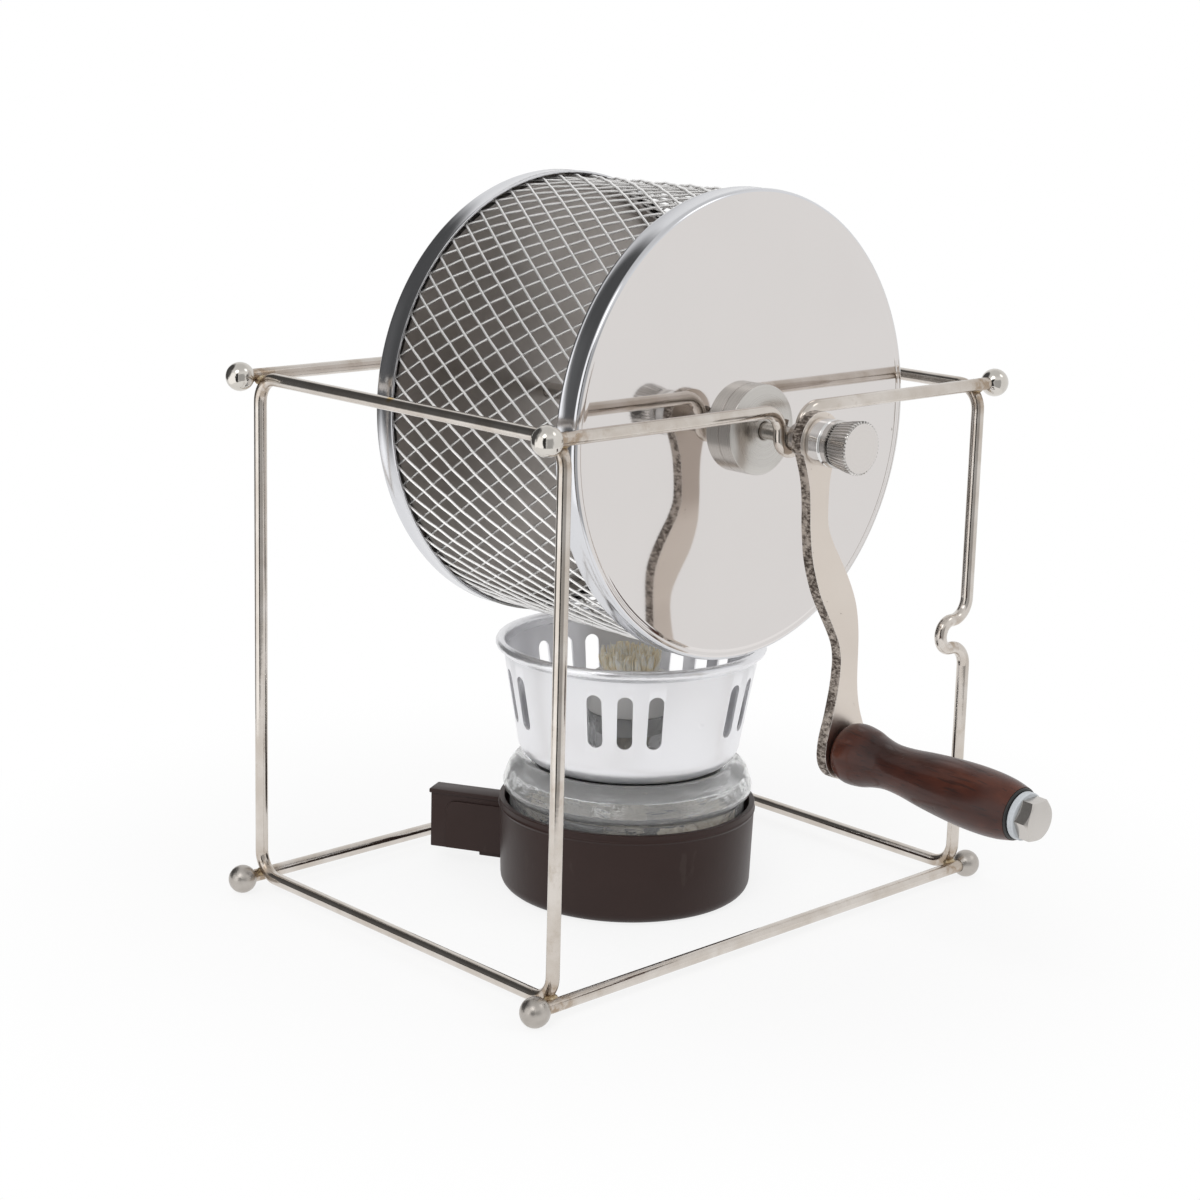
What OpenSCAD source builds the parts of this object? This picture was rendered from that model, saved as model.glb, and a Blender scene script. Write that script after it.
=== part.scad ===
// Stovetop coffee bean roaster: a mesh drum on an axle, carried by a bent wire frame,
// turned by a side crank above a spirit lamp. Lengths are in millimetres and +Z is up.
// The origin lies on the table at the middle of the frame, and the crank is at -Y.

/* [Frame] */
// Distance between the two side loops
loop_gap = 160; // [156:1:176]
// Distance between the front and the rear long rods
rod_gap = 125.4; // [124:0.2:132]
// Gap between the wind guard and the drum
drum_clear = 4.5; // [3:0.5:16]
// Thickness of every frame rod
rod_d = 3.6; // [3.4:0.1:4]
// Diameter of the balls on the rod ends
ball_d = 8; // [7.5:0.5:9]
// Bend radius of the loop corners, at the middle of the rod
corner_r = 7; // [6:0.5:9]
// Bend radius where a rod turns into a notch
dip_bend_r = 6; // [5:0.5:7]
// Straight part of a notch between its bends
dip_straight = 1; // [0.6:0.2:2]

/* [Drum] */
// Outer diameter of the two drum covers
drum_d = 127; // [116:1:128]
// Length of the drum over both covers
drum_l = 80.4; // [70:0.2:82]
// Width of the rim band on each cover
rim_w = 7.4; // [5:0.2:10]
// Sheet thickness of the covers
sheet_t = 0.6; // [0.5:0.1:0.8]
// Radius of the rounded edge of the covers
cover_edge_r = 1.4; // [1.2:0.1:2]
// Thickness of the axle
axle_d = 4.5; // [4:0.1:5]
// Axle length behind the rear rod's middle
axle_tail = 7.3; // [5:0.1:12]
// Diameter of the hub on each cover
hub_d = 24.4; // [20:0.2:28]
// Length of a hub, chamfer included
hub_l = 5.6; // [5:0.1:7]
// Length of the hub's chamfer
hub_chamfer_l = 1.2; // [0.8:0.1:1.6]
// Width of the hub's chamfer, seen from the front
hub_chamfer_w = 3; // [2:0.1:4]
// How far the front cover slides before it meets the stop screw
lid_travel = 4.4; // [3.6:0.1:5]

/* [Mesh] */
// Wires in each of the two layers
wires = 32; // [28:2:36]
// Thickness of a mesh wire
wire_d = 0.8; // [0.7:0.05:0.9]
// Turn of a wire around the drum from one end to the other, in degrees
wire_twist = 45; // [30:1:50]
// Width of the hoops inside the mesh ends
hoop_w = 5; // [4:0.5:8]

/* [Crank] */
// Length of the collar between frame and arm
collar_l = 5.2; // [4.6:0.1:8]
// Diameter of that collar
collar_d = 7.4; // [7:0.1:8]
// Diameter of the stop screw in the axle
screw_d = 2.6; // [2.4:0.1:2.8]
// Height of the stop screw's top above the axle's middle
screw_top = 4; // [3.6:0.1:4.4]
// Lean of the stop screw, in degrees
screw_lean = 16; // [0:1:30]
// Thickness of the crank arm
arm_t = 3.2; // [2.4:0.1:3.6]
// Way from the axle to the grip's bolt, along the arm
crank_drop = 81.8; // [78:0.1:88]
// Lean of the crank to the side at rest, in degrees
crank_lean = 2.5; // [0:0.5:6]
// How far the arm's lower end stands in front of its upper end
crank_step = 10.5; // [8:0.1:12]
// Diameter of the arm's upper eye
eye_d = 15.4; // [14.6:0.1:17]
// Diameter of the arm's lower eye
end_d = 16; // [14:0.1:17]
// Diameter of the spacer ring in front of the arm
ring_d = 12.6; // [12:0.1:14]
// Length of that spacer ring
ring_l = 4.9; // [4:0.1:6]
// Diameter of the thumb nut's front
nut_d = 14.2; // [13.6:0.1:16]
// Length of the thumb nut, collar included
nut_l = 9.1; // [8:0.1:10]
// Downward set of the grip, in degrees
grip_set = 2.9; // [0:0.1:3.5]
// Length of the wooden grip
grip_l = 57; // [52:0.2:64]
// Largest diameter of the wooden grip
grip_d = 16.7; // [15:0.1:18]
// Width of the bolt head across its flats
bolt_head_w = 10; // [9:0.5:11]

/* [Lamp] */
// Place of the lamp towards the right loop, from the frame's middle
lamp_x = 4.4; // [-20:0.1:20]
// Place of the lamp towards the rear rods, from the frame's middle
lamp_y = -0.8; // [-3:0.1:3]
// Diameter of the lamp base at its rim
base_d = 74.4; // [73:0.2:76]
// Height of the lamp base
base_h = 26.5; // [25:0.1:27]
// Direction of the lamp handle, in degrees
handle_turn = 118; // [100:1:140]
// How much shorter the handle's reach is than the way to the rear rods
handle_short = 3.2; // [3:0.1:9]
// Thickness of the handle
handle_t = 6.4; // [5:0.1:8]
// Gap between the glass bottle and the foot of the lamp base
bottle_gap = 0.7; // [0.5:0.1:1.5]
// How far the bottle's lip stands out beyond its body
lip_out = 1.9; // [1.4:0.1:2.3]
// Diameter of the bottle's neck
neck_d = 24; // [22:0.2:26]
// Diameter of the wind guard at its floor
guard_floor_d = 64.6; // [62:0.2:70]
// Diameter of the wind guard below its rim
guard_top_d = 73.4; // [72:0.2:75]
// Height of the wind guard over all
guard_h = 35.8; // [33:0.1:36.5]
// Slots in the wind guard, in groups of three
slot_groups = 5; // [4:1:6]
// Width of a slot
slot_w = 4.3; // [3.4:0.1:4.6]
// Length of a slot
slot_l = 15.8; // [12:0.1:17]
// Diameter of the wick
wick_d = 14; // [12:0.2:15]

/* [Hidden] */
$fn = 64;

// Fits and cuts
cut = 1;
run_gap = 0.05;
seat_gap = 0.1;
weld_gap = 0.1;
side_gap = 0.4;
rest_gap = 0.3;

// Lamp base and bottle: sizes, and heights from the table
base_wall = 1.6;
base_floor = 2;
base_edge_r = 3.5;
base_taper = 0.7;
bottle_d = base_d - 2 * (base_taper + base_wall + bottle_gap);
lip_d = bottle_d + 2 * lip_out;
bottle_z = base_floor + rest_gap;
glass_t = 2.1;
foot_r = 3.6;
lip_rise = 1.7;
lip_swell_h = 1.8;
lip_band_h = 2.6;
lip_turn_h = 3.6;
step_in = 1.6;
shoulder_in = 3.1;
shoulder_h = 0.4;
shoulder_rim_h = 2.4;
shoulder_rim_w = 1.6;
well_in = 4.4;
neck_foot = 1.5;
neck_rise = 3.8;
neck_l = 12.2;
lip_low_z = base_h + lip_rise;
lip_z = lip_low_z + lip_swell_h;
lip_high_z = lip_z + lip_band_h;
lip_top_z = lip_high_z + lip_turn_h;
step_r = lip_d / 2 - step_in;
shoulder_r = step_r - shoulder_in;
well_r = shoulder_r - well_in;
shoulder_z = lip_top_z + shoulder_h;
neck_root_r = neck_d / 2 + neck_foot;
neck_low_z = shoulder_z + neck_rise;
neck_top_z = neck_low_z + neck_l;
// The ring lifts the wind guard: it is thicker where the guard's floor reaches over the bottle's rim
neck_ring_least_t = 1.4;
neck_ring_w = 5;
rim_gap = 0.4;
guard_corner_r = 7;
guard_flat_r = guard_floor_d / 2 - guard_corner_r;
rim_past = max(0, min(shoulder_r - shoulder_rim_w - guard_flat_r, guard_corner_r));
rim_room = guard_corner_r - sqrt(guard_corner_r * guard_corner_r - rim_past * rim_past);
neck_ring_t = max(neck_ring_least_t, shoulder_rim_h + rim_gap - rim_room - 2 * seat_gap);
guard_z = shoulder_z + seat_gap + neck_ring_t + seat_gap;

// A notch: a dip in a rod that the axle lies in
seat_r = axle_d / 2 + seat_gap + rod_d / 2;
dip_reach = seat_r + dip_bend_r;
axle_drop = dip_bend_r + dip_straight;
axle_z = guard_z + guard_h + drum_clear + drum_d / 2;

// Frame places: the top rods stand so high that the drum clears the lamp
low_z = ball_d / 2;
top_z = axle_z + axle_drop;
frame_rise = top_z - low_z;
mid_z = (low_z + top_z) / 2;
loop_x = loop_gap / 2;
rod_y = rod_gap / 2;
ball_gap = 0.5;
ball_x = loop_x + rod_d / 2 + ball_gap + ball_d / 2;
socket_share = 0.3;
corner_set = (corner_r + rod_d + weld_gap) * sqrt(0.5) - corner_r;
loop_y = rod_y - corner_set;
loop_z = frame_rise / 2 - corner_set;

// Places along the axle, from the crank end to the back
screw_y = -rod_y + rod_d / 2 + rest_gap + screw_d / 2;
hub_front_y = screw_y + screw_d / 2 + lid_travel;
drum_front_y = hub_front_y + hub_l;
drum_back_y = drum_front_y + drum_l;
collar_y = -rod_y - rod_d / 2 - side_gap;
arm_y = collar_y - collar_l;
ring_y = arm_y - arm_t;
nut_y = ring_y - ring_l;
axle_in_nut_share = 0.7;
axle_front_y = nut_y - nut_l * axle_in_nut_share;
axle_back_y = rod_y + axle_tail;
bore_d = axle_d + 2 * run_gap;

// Drum mesh: two layers of slanting wires that lie on each other inside the rims
rim_in_r = drum_d / 2 - sheet_t;
lid_gap = 0.3;
layer_gap = 0.1;
outer_layer_r = rim_in_r - lid_gap - wire_d / 2;
inner_layer_r = outer_layer_r - wire_d - layer_gap;
mesh_l = drum_l - 2 * sheet_t - 2 * rest_gap;
mesh_y = drum_front_y + sheet_t + rest_gap;
wire_sides = 4;
wire_steps = 7;
hoop_r = inner_layer_r - wire_d / 2 - run_gap;
hoop_t = 0.7;

// Crank arm: half its width, and how far it has stepped out, against the way down,
// as shares of the drop and of the step
eye_hole_d = bore_d;
arm_half_shares = [
    [0.0785, 0.035], [0.0605, 0.09], [0.0485, 0.14], [0.0436, 0.2], [0.0428, 0.25],
    [0.0448, 0.295], [0.0535, 0.342], [0.065, 0.391], [0.0725, 0.44], [0.0748, 0.489],
    [0.069, 0.538], [0.0577, 0.587], [0.0465, 0.636], [0.0415, 0.685], [0.0422, 0.733],
    [0.0462, 0.782], [0.0545, 0.831], [0.0668, 0.88], [0.083, 0.925], [0.0925, 0.957],
    [0.0965, 0.985]
];
arm_bend_shares = [
    [-0.2, 0], [0.05, 0], [0.2, 0], [0.28, 0.01], [0.342, 0.124], [0.391, 0.276], [0.44, 0.448],
    [0.489, 0.624], [0.538, 0.8], [0.587, 0.943], [0.636, 1.045], [0.685, 1.075],
    [0.733, 1.06], [0.782, 1.035], [0.831, 1.01], [0.88, 1], [1, 1], [1.2, 1]
];
edge_steps = 4;

// Grip: place along its length and radius, as shares of its length and diameter
grip_shares = [
    [0, 0.36], [0.012, 0.435], [0.04, 0.48], [0.08, 0.494], [0.14, 0.468], [0.2, 0.412],
    [0.275, 0.372], [0.37, 0.385], [0.49, 0.437], [0.61, 0.476], [0.73, 0.5],
    [0.84, 0.498], [0.92, 0.474], [0.97, 0.44], [1, 0.41]
];
bolt_d = 6;
bolt_head_l = 3.9;
bolt_edge = 0.6;
bolt_tail = 1.4;
washer_d = 12.4;
washer_t = 1.9;
grip_ring_share = 0.812;
grip_ring_d = grip_d * grip_ring_share;
grip_ring_t = 2.4;
grip_ring_in = 1.8;
grip_turn_gap = 0.1;
grip_y = ring_y - crank_step;
bolt_x = crank_drop * sin(crank_lean);
bolt_z = axle_z - crank_drop * cos(crank_lean);

// Thumb nut
nut_collar_l = 1.7;
nut_collar_d = 12.6;
nut_back_d = 11.8;
ring_edge = 0.7;

// Bead and handle of the lamp base
handle_reach = rod_y - lamp_y - handle_short;
bead_d = 0.9;
bead_drop = 2.1;
handle_h = 18;
handle_z = 4;
handle_lip_t = 1.4;
handle_lip_out = 0.5;
handle_step_h = 1;
handle_step_share = 0.37;
handle_panel_t = 0.5;
handle_panel_in = 1.6;
handle_panel_arch_r = 3;
handle_panel_end = 5.2;
handle_root_in = 1;

// Wick holder, wick and wind guard
guard_t = 0.7;
guard_hole_gap = 0.5;
guard_hole_r = neck_root_r + guard_hole_gap;
guard_roll_d = 2.8;
guard_flare = 0.9;
guard_flare_h = 2.4;
slot_pitch = 14.1;
slot_first = -136.4;
slot_row = 3;
slot_lift_share = 0.605;
slot_lift = (guard_h - slot_l) * slot_lift_share;
holder_flange_h = 10.7;
flange_out = 0.2;
holder_flange_d = neck_d + 2 * flange_out;
holder_top_z = neck_top_z + seat_gap + holder_flange_h;
holder_spigot_l = 6;
spigot_gap = 0.15;
wick_gap = 0.3;
tuft_out = 2.6;
tuft_d = wick_d + 2 * tuft_out;
tuft_rise = 5.2;
tuft_cap_h = 3.8;
tuft_mid_z = holder_top_z + tuft_rise;
tuft_top_z = tuft_mid_z + tuft_cap_h;
coil_z = 21;
coil_d = 9.6;
coil_gap = 0.9;
coil_r = bottle_d / 2 - glass_t - coil_gap - coil_d / 2;
coil_arc = 240;
coil_start = -112;
arm_to_coil = -96;
arm_to_coil_d = 8.4;
rope_low_z = 16;

// Points on a smooth line through the given points
function between(a, b, c, d, t) =
    (2 * b + t * (c - a) + t * t * (2 * a - 5 * b + 4 * c - d)
    + t * t * t * (3 * b - a - 3 * c + d)) / 2;
function smooth(p, n) = [
    for (i = [0:len(p) - 2])
        for (k = [0:(i == len(p) - 2 ? n : n - 1)])
            between(p[max(i - 1, 0)], p[i], p[i + 1], p[min(i + 2, len(p) - 1)], k / n)
];
function backwards(p) = [for (i = [len(p) - 1:-1:0]) p[i]];

// The points of a line moved to its side
function beside(p, away) = [
    for (i = [0:len(p) - 1])
        let (along = p[min(i + 1, len(p) - 1)] - p[max(i - 1, 0)])
            p[i] + away * [-along.y, along.x] / norm(along)
];

// Puts a child that is built along +Z on the axle, pointing to the crank end
module on_axle(y) {
    translate([0, y, axle_z])
        rotate([90, 0, 0])
            children();
}

// A straight frame rod along X, between two places
module rod_along_x(from, to) {
    translate([from, 0, 0])
        rotate([0, 90, 0])
            cylinder(h = to - from, d = rod_d);
}

// A quarter of a bent rod in the XZ plane
module rod_bend(radius, first, turn) {
    rotate([90, 0, 0])
        rotate_extrude(angle = turn, start = first)
            translate([radius, 0])
                circle(d = rod_d);
}

// A rod along X with the notch in its middle, dipping to -Z
module dipped_rod(reach) {
    for (side = [0, 1])
        mirror([side, 0, 0]) {
            rod_along_x(dip_reach, reach);
            translate([dip_reach, 0, -dip_bend_r])
                rod_bend(dip_bend_r, 90, 90);
            translate([seat_r, 0, -axle_drop])
                cylinder(h = dip_straight, d = rod_d);
        }
    translate([0, 0, -axle_drop])
        rod_bend(seat_r, 180, 180);
}

// A closed side loop with rounded corners; its upright rods may have a notch
module side_loop(notched) {
    for (side = [-1, 1]) {
        translate([0, side * loop_y, mid_z])
            rotate([0, 90, 0])
                if (notched)
                    dipped_rod(loop_z - corner_r);
                else
                    rod_along_x(corner_r - loop_z, loop_z - corner_r);
        translate([0, 0, mid_z + side * loop_z])
            rotate([90, 0, 0])
                cylinder(h = 2 * (loop_y - corner_r), d = rod_d, center = true);
    }
    for (corner = [0:3])
        translate([
            0,
            (corner == 0 || corner == 3 ? 1 : -1) * (loop_y - corner_r),
            mid_z + (corner < 2 ? 1 : -1) * (loop_z - corner_r)
        ])
            rotate([0, 0, 90])
                rod_bend(corner_r, 90 * corner, 90);
}

module left_loop() {
    color("silver")
        translate([-loop_x, 0, 0])
            side_loop(false);
}

module right_loop() {
    color("silver")
        translate([loop_x, 0, 0])
            side_loop(true);
}

module top_rod_front() {
    color("silver")
        translate([0, -rod_y, top_z])
            dipped_rod(ball_x);
}

module top_rod_rear() {
    color("silver")
        translate([0, rod_y, top_z])
            dipped_rod(ball_x);
}

module bottom_rod_front() {
    color("silver")
        translate([0, -rod_y, low_z])
            rod_along_x(-ball_x, ball_x);
}

module bottom_rod_rear() {
    color("silver")
        translate([0, rod_y, low_z])
            rod_along_x(-ball_x, ball_x);
}

// Eight balls, each with a socket for its rod end
module corner_balls() {
    color("silver")
        for (x_side = [0, 1], y_side = [-1, 1], z = [low_z, top_z])
            mirror([x_side, 0, 0])
                translate([ball_x, y_side * rod_y, z])
                    difference() {
                        sphere(d = ball_d);
                        rotate([0, -90, 0])
                            translate([0, 0, -ball_d * socket_share / 2])
                                cylinder(h = ball_d, d = rod_d + 2 * run_gap);
                    }
}

module axle() {
    color("gainsboro")
        on_axle(axle_back_y)
            difference() {
                cylinder(h = axle_back_y - axle_front_y, d = axle_d);
                translate([0, 0, axle_back_y - screw_y])
                    rotate([-90, 0, 0])
                        rotate([0, screw_lean, 0])
                            translate([0, 0, -run_gap])
                                cylinder(h = axle_d, d = screw_d + 2 * run_gap);
            }
}

// Ring of points around a slanting wire at one step along the drum
function wire_ring(layer_r, turn, hand, step) =
    let (at = turn + hand * wire_twist * (step / wire_steps - 0.5))
    [
        for (s = [0:wire_sides - 1])
            let (a = 360 * s / wire_sides)
            [
                (layer_r + wire_d / 2 * cos(a)) * cos(at) - wire_d / 2 * sin(a) * sin(at),
                (layer_r + wire_d / 2 * cos(a)) * sin(at) + wire_d / 2 * sin(a) * cos(at),
                mesh_l * step / wire_steps
            ]
    ];

// Every wire is one closed tube of triangles; all of them are drawn at once
module drum_mesh() {
    tube = wire_sides * (wire_steps + 1);
    places = [
        for (layer = [0, 1], w = [0:wires - 1], step = [0:wire_steps])
            each wire_ring(
                layer == 0 ? outer_layer_r : inner_layer_r,
                360 * w / wires, layer == 0 ? 1 : -1, step
            )
    ];
    sides = [
        for (t = [0:2 * wires - 1], step = [0:wire_steps - 1], s = [0:wire_sides - 1])
            let (
                a = t * tube + step * wire_sides + s,
                b = t * tube + step * wire_sides + (s + 1) % wire_sides
            )
            each [[a, a + wire_sides, b], [b, a + wire_sides, b + wire_sides]]
    ];
    caps = [
        for (t = [0:2 * wires - 1], s = [1:wire_sides - 2])
            let (a = t * tube, z = (t + 1) * tube - wire_sides)
            each [[a, a + s, a + s + 1], [z, z + s + 1, z + s]]
    ];
    color("lightsteelblue")
        translate([0, mesh_y + mesh_l, axle_z])
            rotate([90, 0, 0])
                polyhedron(points = places, faces = concat(sides, caps));
}

// Sheet metal hoops that keep the two mesh ends round
module mesh_hoops() {
    color("lightslategray")
        for (y = [mesh_y + hoop_w, mesh_y + mesh_l])
            on_axle(y)
                difference() {
                    cylinder(h = hoop_w, r = hoop_r);
                    translate([0, 0, -cut])
                        cylinder(h = hoop_w + 2 * cut, r = hoop_r - hoop_t);
                }
}

// Half section of a cover: flat disc, rounded edge and rim band
module cover_section() {
    edge_at = [drum_d / 2 - cover_edge_r, cover_edge_r];
    translate([bore_d / 2, 0])
        square([edge_at.x - bore_d / 2, sheet_t]);
    translate([drum_d / 2 - sheet_t, edge_at.y])
        square([sheet_t, rim_w - edge_at.y]);
    intersection() {
        translate(edge_at)
            difference() {
                circle(r = cover_edge_r);
                circle(r = cover_edge_r - sheet_t);
            }
        translate([edge_at.x, 0])
            square([cover_edge_r, cover_edge_r]);
    }
}

// A hub: plain cylinder with a wide chamfer at its free end
module hub() {
    difference() {
        union() {
            cylinder(h = hub_l - hub_chamfer_l, d = hub_d);
            translate([0, 0, hub_l - hub_chamfer_l])
                cylinder(h = hub_chamfer_l, d1 = hub_d, d2 = hub_d - 2 * hub_chamfer_w);
        }
        translate([0, 0, -cut])
            cylinder(h = hub_l + 2 * cut, d = bore_d);
    }
}

module rear_cover() {
    color("whitesmoke")
        on_axle(drum_back_y)
            rotate_extrude()
                cover_section();
}

module rear_hub() {
    color("gray")
        translate([0, drum_back_y, axle_z])
            rotate([-90, 0, 0])
                hub();
}

module front_cover() {
    color("whitesmoke")
        translate([0, drum_front_y, axle_z])
            rotate([-90, 0, 0])
                rotate_extrude()
                    cover_section();
}

module front_hub() {
    color("gray")
        on_axle(drum_front_y)
            hub();
}

// Socket screw that stands in the axle and stops the front cover
module stop_screw() {
    socket_d = 1.5;
    socket_l = 1;
    color("dimgray")
        translate([0, screw_y, axle_z])
            rotate([0, screw_lean, 0])
                difference() {
                    cylinder(h = screw_top, d = screw_d);
                    translate([0, 0, screw_top - socket_l])
                        cylinder(h = socket_l + cut, d = socket_d, $fn = 6);
                }
}

module crank_collar() {
    color("darkgray")
        on_axle(collar_y)
            difference() {
                cylinder(h = collar_l, d = collar_d);
                translate([0, 0, -cut])
                    cylinder(h = collar_l + 2 * cut, d = bore_d);
            }
}

// The arm seen from the front: an eye at each end and two slim waists between them
module arm_outline() {
    half = crank_drop * smooth(arm_half_shares, edge_steps);
    polygon(concat(
        [for (p = half) [p.x, -p.y]],
        [for (p = backwards(half)) [-p.x, -p.y]]
    ));
}

// The arm seen from the side: thick sheet that steps out on its way down
module arm_side() {
    middle = smooth([
        for (p = arm_bend_shares) [-crank_drop * p.x, arm_t / 2 + crank_step * p.y]
    ], edge_steps);
    polygon(concat(beside(middle, arm_t / 2), backwards(beside(middle, -arm_t / 2))));
}

module crank_arm() {
    wide = eye_d + end_d;
    deep = arm_t + 2 * crank_step;
    color("lightgray")
        on_axle(arm_y)
            rotate([0, 0, crank_lean])
                difference() {
                    intersection() {
                        rotate([90, 0, 90])
                            linear_extrude(height = wide, center = true)
                                arm_side();
                        translate([0, 0, -cut])
                            union() {
                                linear_extrude(height = deep)
                                    arm_outline();
                                cylinder(h = deep, d = eye_d);
                                translate([0, -crank_drop, 0])
                                    cylinder(h = deep, d = end_d);
                            }
                    }
                    translate([0, 0, -cut])
                        cylinder(h = arm_t + 2 * cut, d = eye_hole_d);
                    translate([0, -crank_drop, -cut])
                        cylinder(h = deep, d = bolt_d + 2 * side_gap);
                }
}

module spacer_ring() {
    color("gainsboro")
        on_axle(ring_y)
            difference() {
                union() {
                    cylinder(h = ring_l - ring_edge, d = ring_d);
                    translate([0, 0, ring_l - ring_edge])
                        cylinder(h = ring_edge, d1 = ring_d, d2 = ring_d - 2 * ring_edge);
                }
                translate([0, 0, -cut])
                    cylinder(h = ring_l + 2 * cut, d = bore_d);
            }
}

// A narrow collar, then a knob that widens to the front
module thumb_nut() {
    color("darkgray")
        on_axle(nut_y)
            difference() {
                union() {
                    cylinder(h = nut_collar_l, d = nut_collar_d);
                    translate([0, 0, nut_collar_l])
                        cylinder(h = nut_l - nut_collar_l, d1 = nut_back_d, d2 = nut_d);
                }
                translate([0, 0, -cut])
                    cylinder(h = nut_y - axle_front_y + rest_gap + cut, d = bore_d);
            }
}

// Puts a child that is built along +Z on the grip's bolt, from the arm outwards
module on_grip(along) {
    translate([bolt_x, grip_y, bolt_z])
        rotate([90 + grip_set, 0, 0])
            translate([0, 0, along])
                children();
}

module grip() {
    outline = smooth(grip_shares, edge_steps);
    color("saddlebrown")
        on_grip(side_gap)
            difference() {
                rotate_extrude()
                    polygon(concat(
                        [[0, 0]],
                        [for (p = outline) [p.y * grip_d, p.x * grip_l]],
                        [[0, grip_l]]
                    ));
                translate([0, 0, -cut])
                    cylinder(h = grip_l + 2 * cut, d = bolt_d + 2 * grip_turn_gap);
                translate([0, 0, grip_l - grip_ring_in])
                    cylinder(h = grip_ring_in + cut, d = grip_ring_d + 2 * run_gap);
            }
}

module grip_ring() {
    color("black")
        on_grip(side_gap + grip_l - grip_ring_in)
            difference() {
                cylinder(h = grip_ring_t, d = grip_ring_d);
                translate([0, 0, -cut])
                    cylinder(h = grip_ring_t + 2 * cut, d = bolt_d + 2 * grip_turn_gap);
            }
}

module grip_washer() {
    color("white")
        on_grip(side_gap + grip_l - grip_ring_in + grip_ring_t + seat_gap)
            difference() {
                cylinder(h = washer_t, d = washer_d);
                translate([0, 0, -cut])
                    cylinder(h = washer_t + 2 * cut, d = bolt_d + 2 * run_gap);
            }
}

// Bolt through washer, grip and arm; its tail is closed over behind the arm
module grip_bolt() {
    head_at = side_gap + grip_l - grip_ring_in + grip_ring_t + seat_gap + washer_t;
    tail_at = -arm_t - bolt_tail;
    tail_r = bolt_d / 2 + bolt_tail;
    head_r = bolt_head_w / 2 - bolt_edge;
    color("lightgray")
        on_grip(0)
            union() {
                rotate_extrude()
                    polygon([
                        [0, tail_at],
                        [tail_r, tail_at],
                        [tail_r, -arm_t - side_gap],
                        [bolt_d / 2, -arm_t - side_gap],
                        [bolt_d / 2, head_at + bolt_edge],
                        [head_r, head_at + bolt_edge],
                        [head_r, head_at + bolt_head_l],
                        [0, head_at + bolt_head_l]
                    ]);
                translate([0, 0, head_at])
                    cylinder(h = bolt_head_l - bolt_edge, d = bolt_head_w / cos(30), $fn = 6);
            }
}

// Puts the lamp's parts at their place in the frame
module in_lamp() {
    translate([lamp_x, lamp_y, 0])
        children();
}

// Half section of a cup with a rounded foot, a slightly wider rim and a flat floor
module cup_section(foot_d, rim_d, height, edge_r) {
    square([foot_d / 2 - edge_r, height]);
    translate([foot_d / 2 - edge_r, edge_r])
        circle(r = edge_r);
    polygon([
        [0, edge_r], [foot_d / 2, edge_r], [rim_d / 2, height], [0, height]
    ]);
}

// The handle block lies along +X; its near side carries a raised arched panel
module handle() {
    root = base_d / 2 - handle_root_in;
    length = handle_reach - root;
    panel_l = length - handle_panel_end;
    panel_h = handle_h - handle_lip_t - handle_panel_in;
    translate([root, -handle_t / 2, handle_z])
        cube([length, handle_t, handle_h]);
    translate([root, -handle_t / 2 - handle_lip_out, handle_z + handle_h - handle_lip_t])
        cube([length + handle_lip_out, handle_t + 2 * handle_lip_out, handle_lip_t]);
    translate([root, -handle_t / 2, handle_z - handle_step_h])
        cube([length * handle_step_share, handle_t, handle_step_h + cut]);
    translate([root, handle_t / 2 + handle_panel_t, handle_z])
        rotate([90, 0, 0])
            linear_extrude(height = handle_t + 2 * handle_panel_t) {
                square([panel_l - handle_panel_arch_r, panel_h]);
                square([panel_l, panel_h - handle_panel_arch_r]);
                translate([panel_l - handle_panel_arch_r, panel_h - handle_panel_arch_r])
                    circle(r = handle_panel_arch_r);
            }
}

module lamp_base() {
    foot_d = base_d - 2 * base_taper;
    color("#3a2a26")
        in_lamp()
            union() {
                difference() {
                    rotate_extrude()
                        intersection() {
                            cup_section(foot_d, base_d, base_h, base_edge_r);
                            square([base_d, base_h]);
                        }
                    translate([0, 0, base_floor])
                        rotate_extrude()
                            intersection() {
                                cup_section(
                                    foot_d - 2 * base_wall, base_d - 2 * base_wall,
                                    base_h, base_edge_r - base_wall
                                );
                                square([base_d, base_h]);
                            }
                }
                translate([0, 0, base_h - bead_drop])
                    rotate_extrude()
                        translate([base_d / 2 - bead_d / 4, 0])
                            circle(d = bead_d);
                rotate([0, 0, handle_turn])
                    handle();
            }
}

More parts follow.
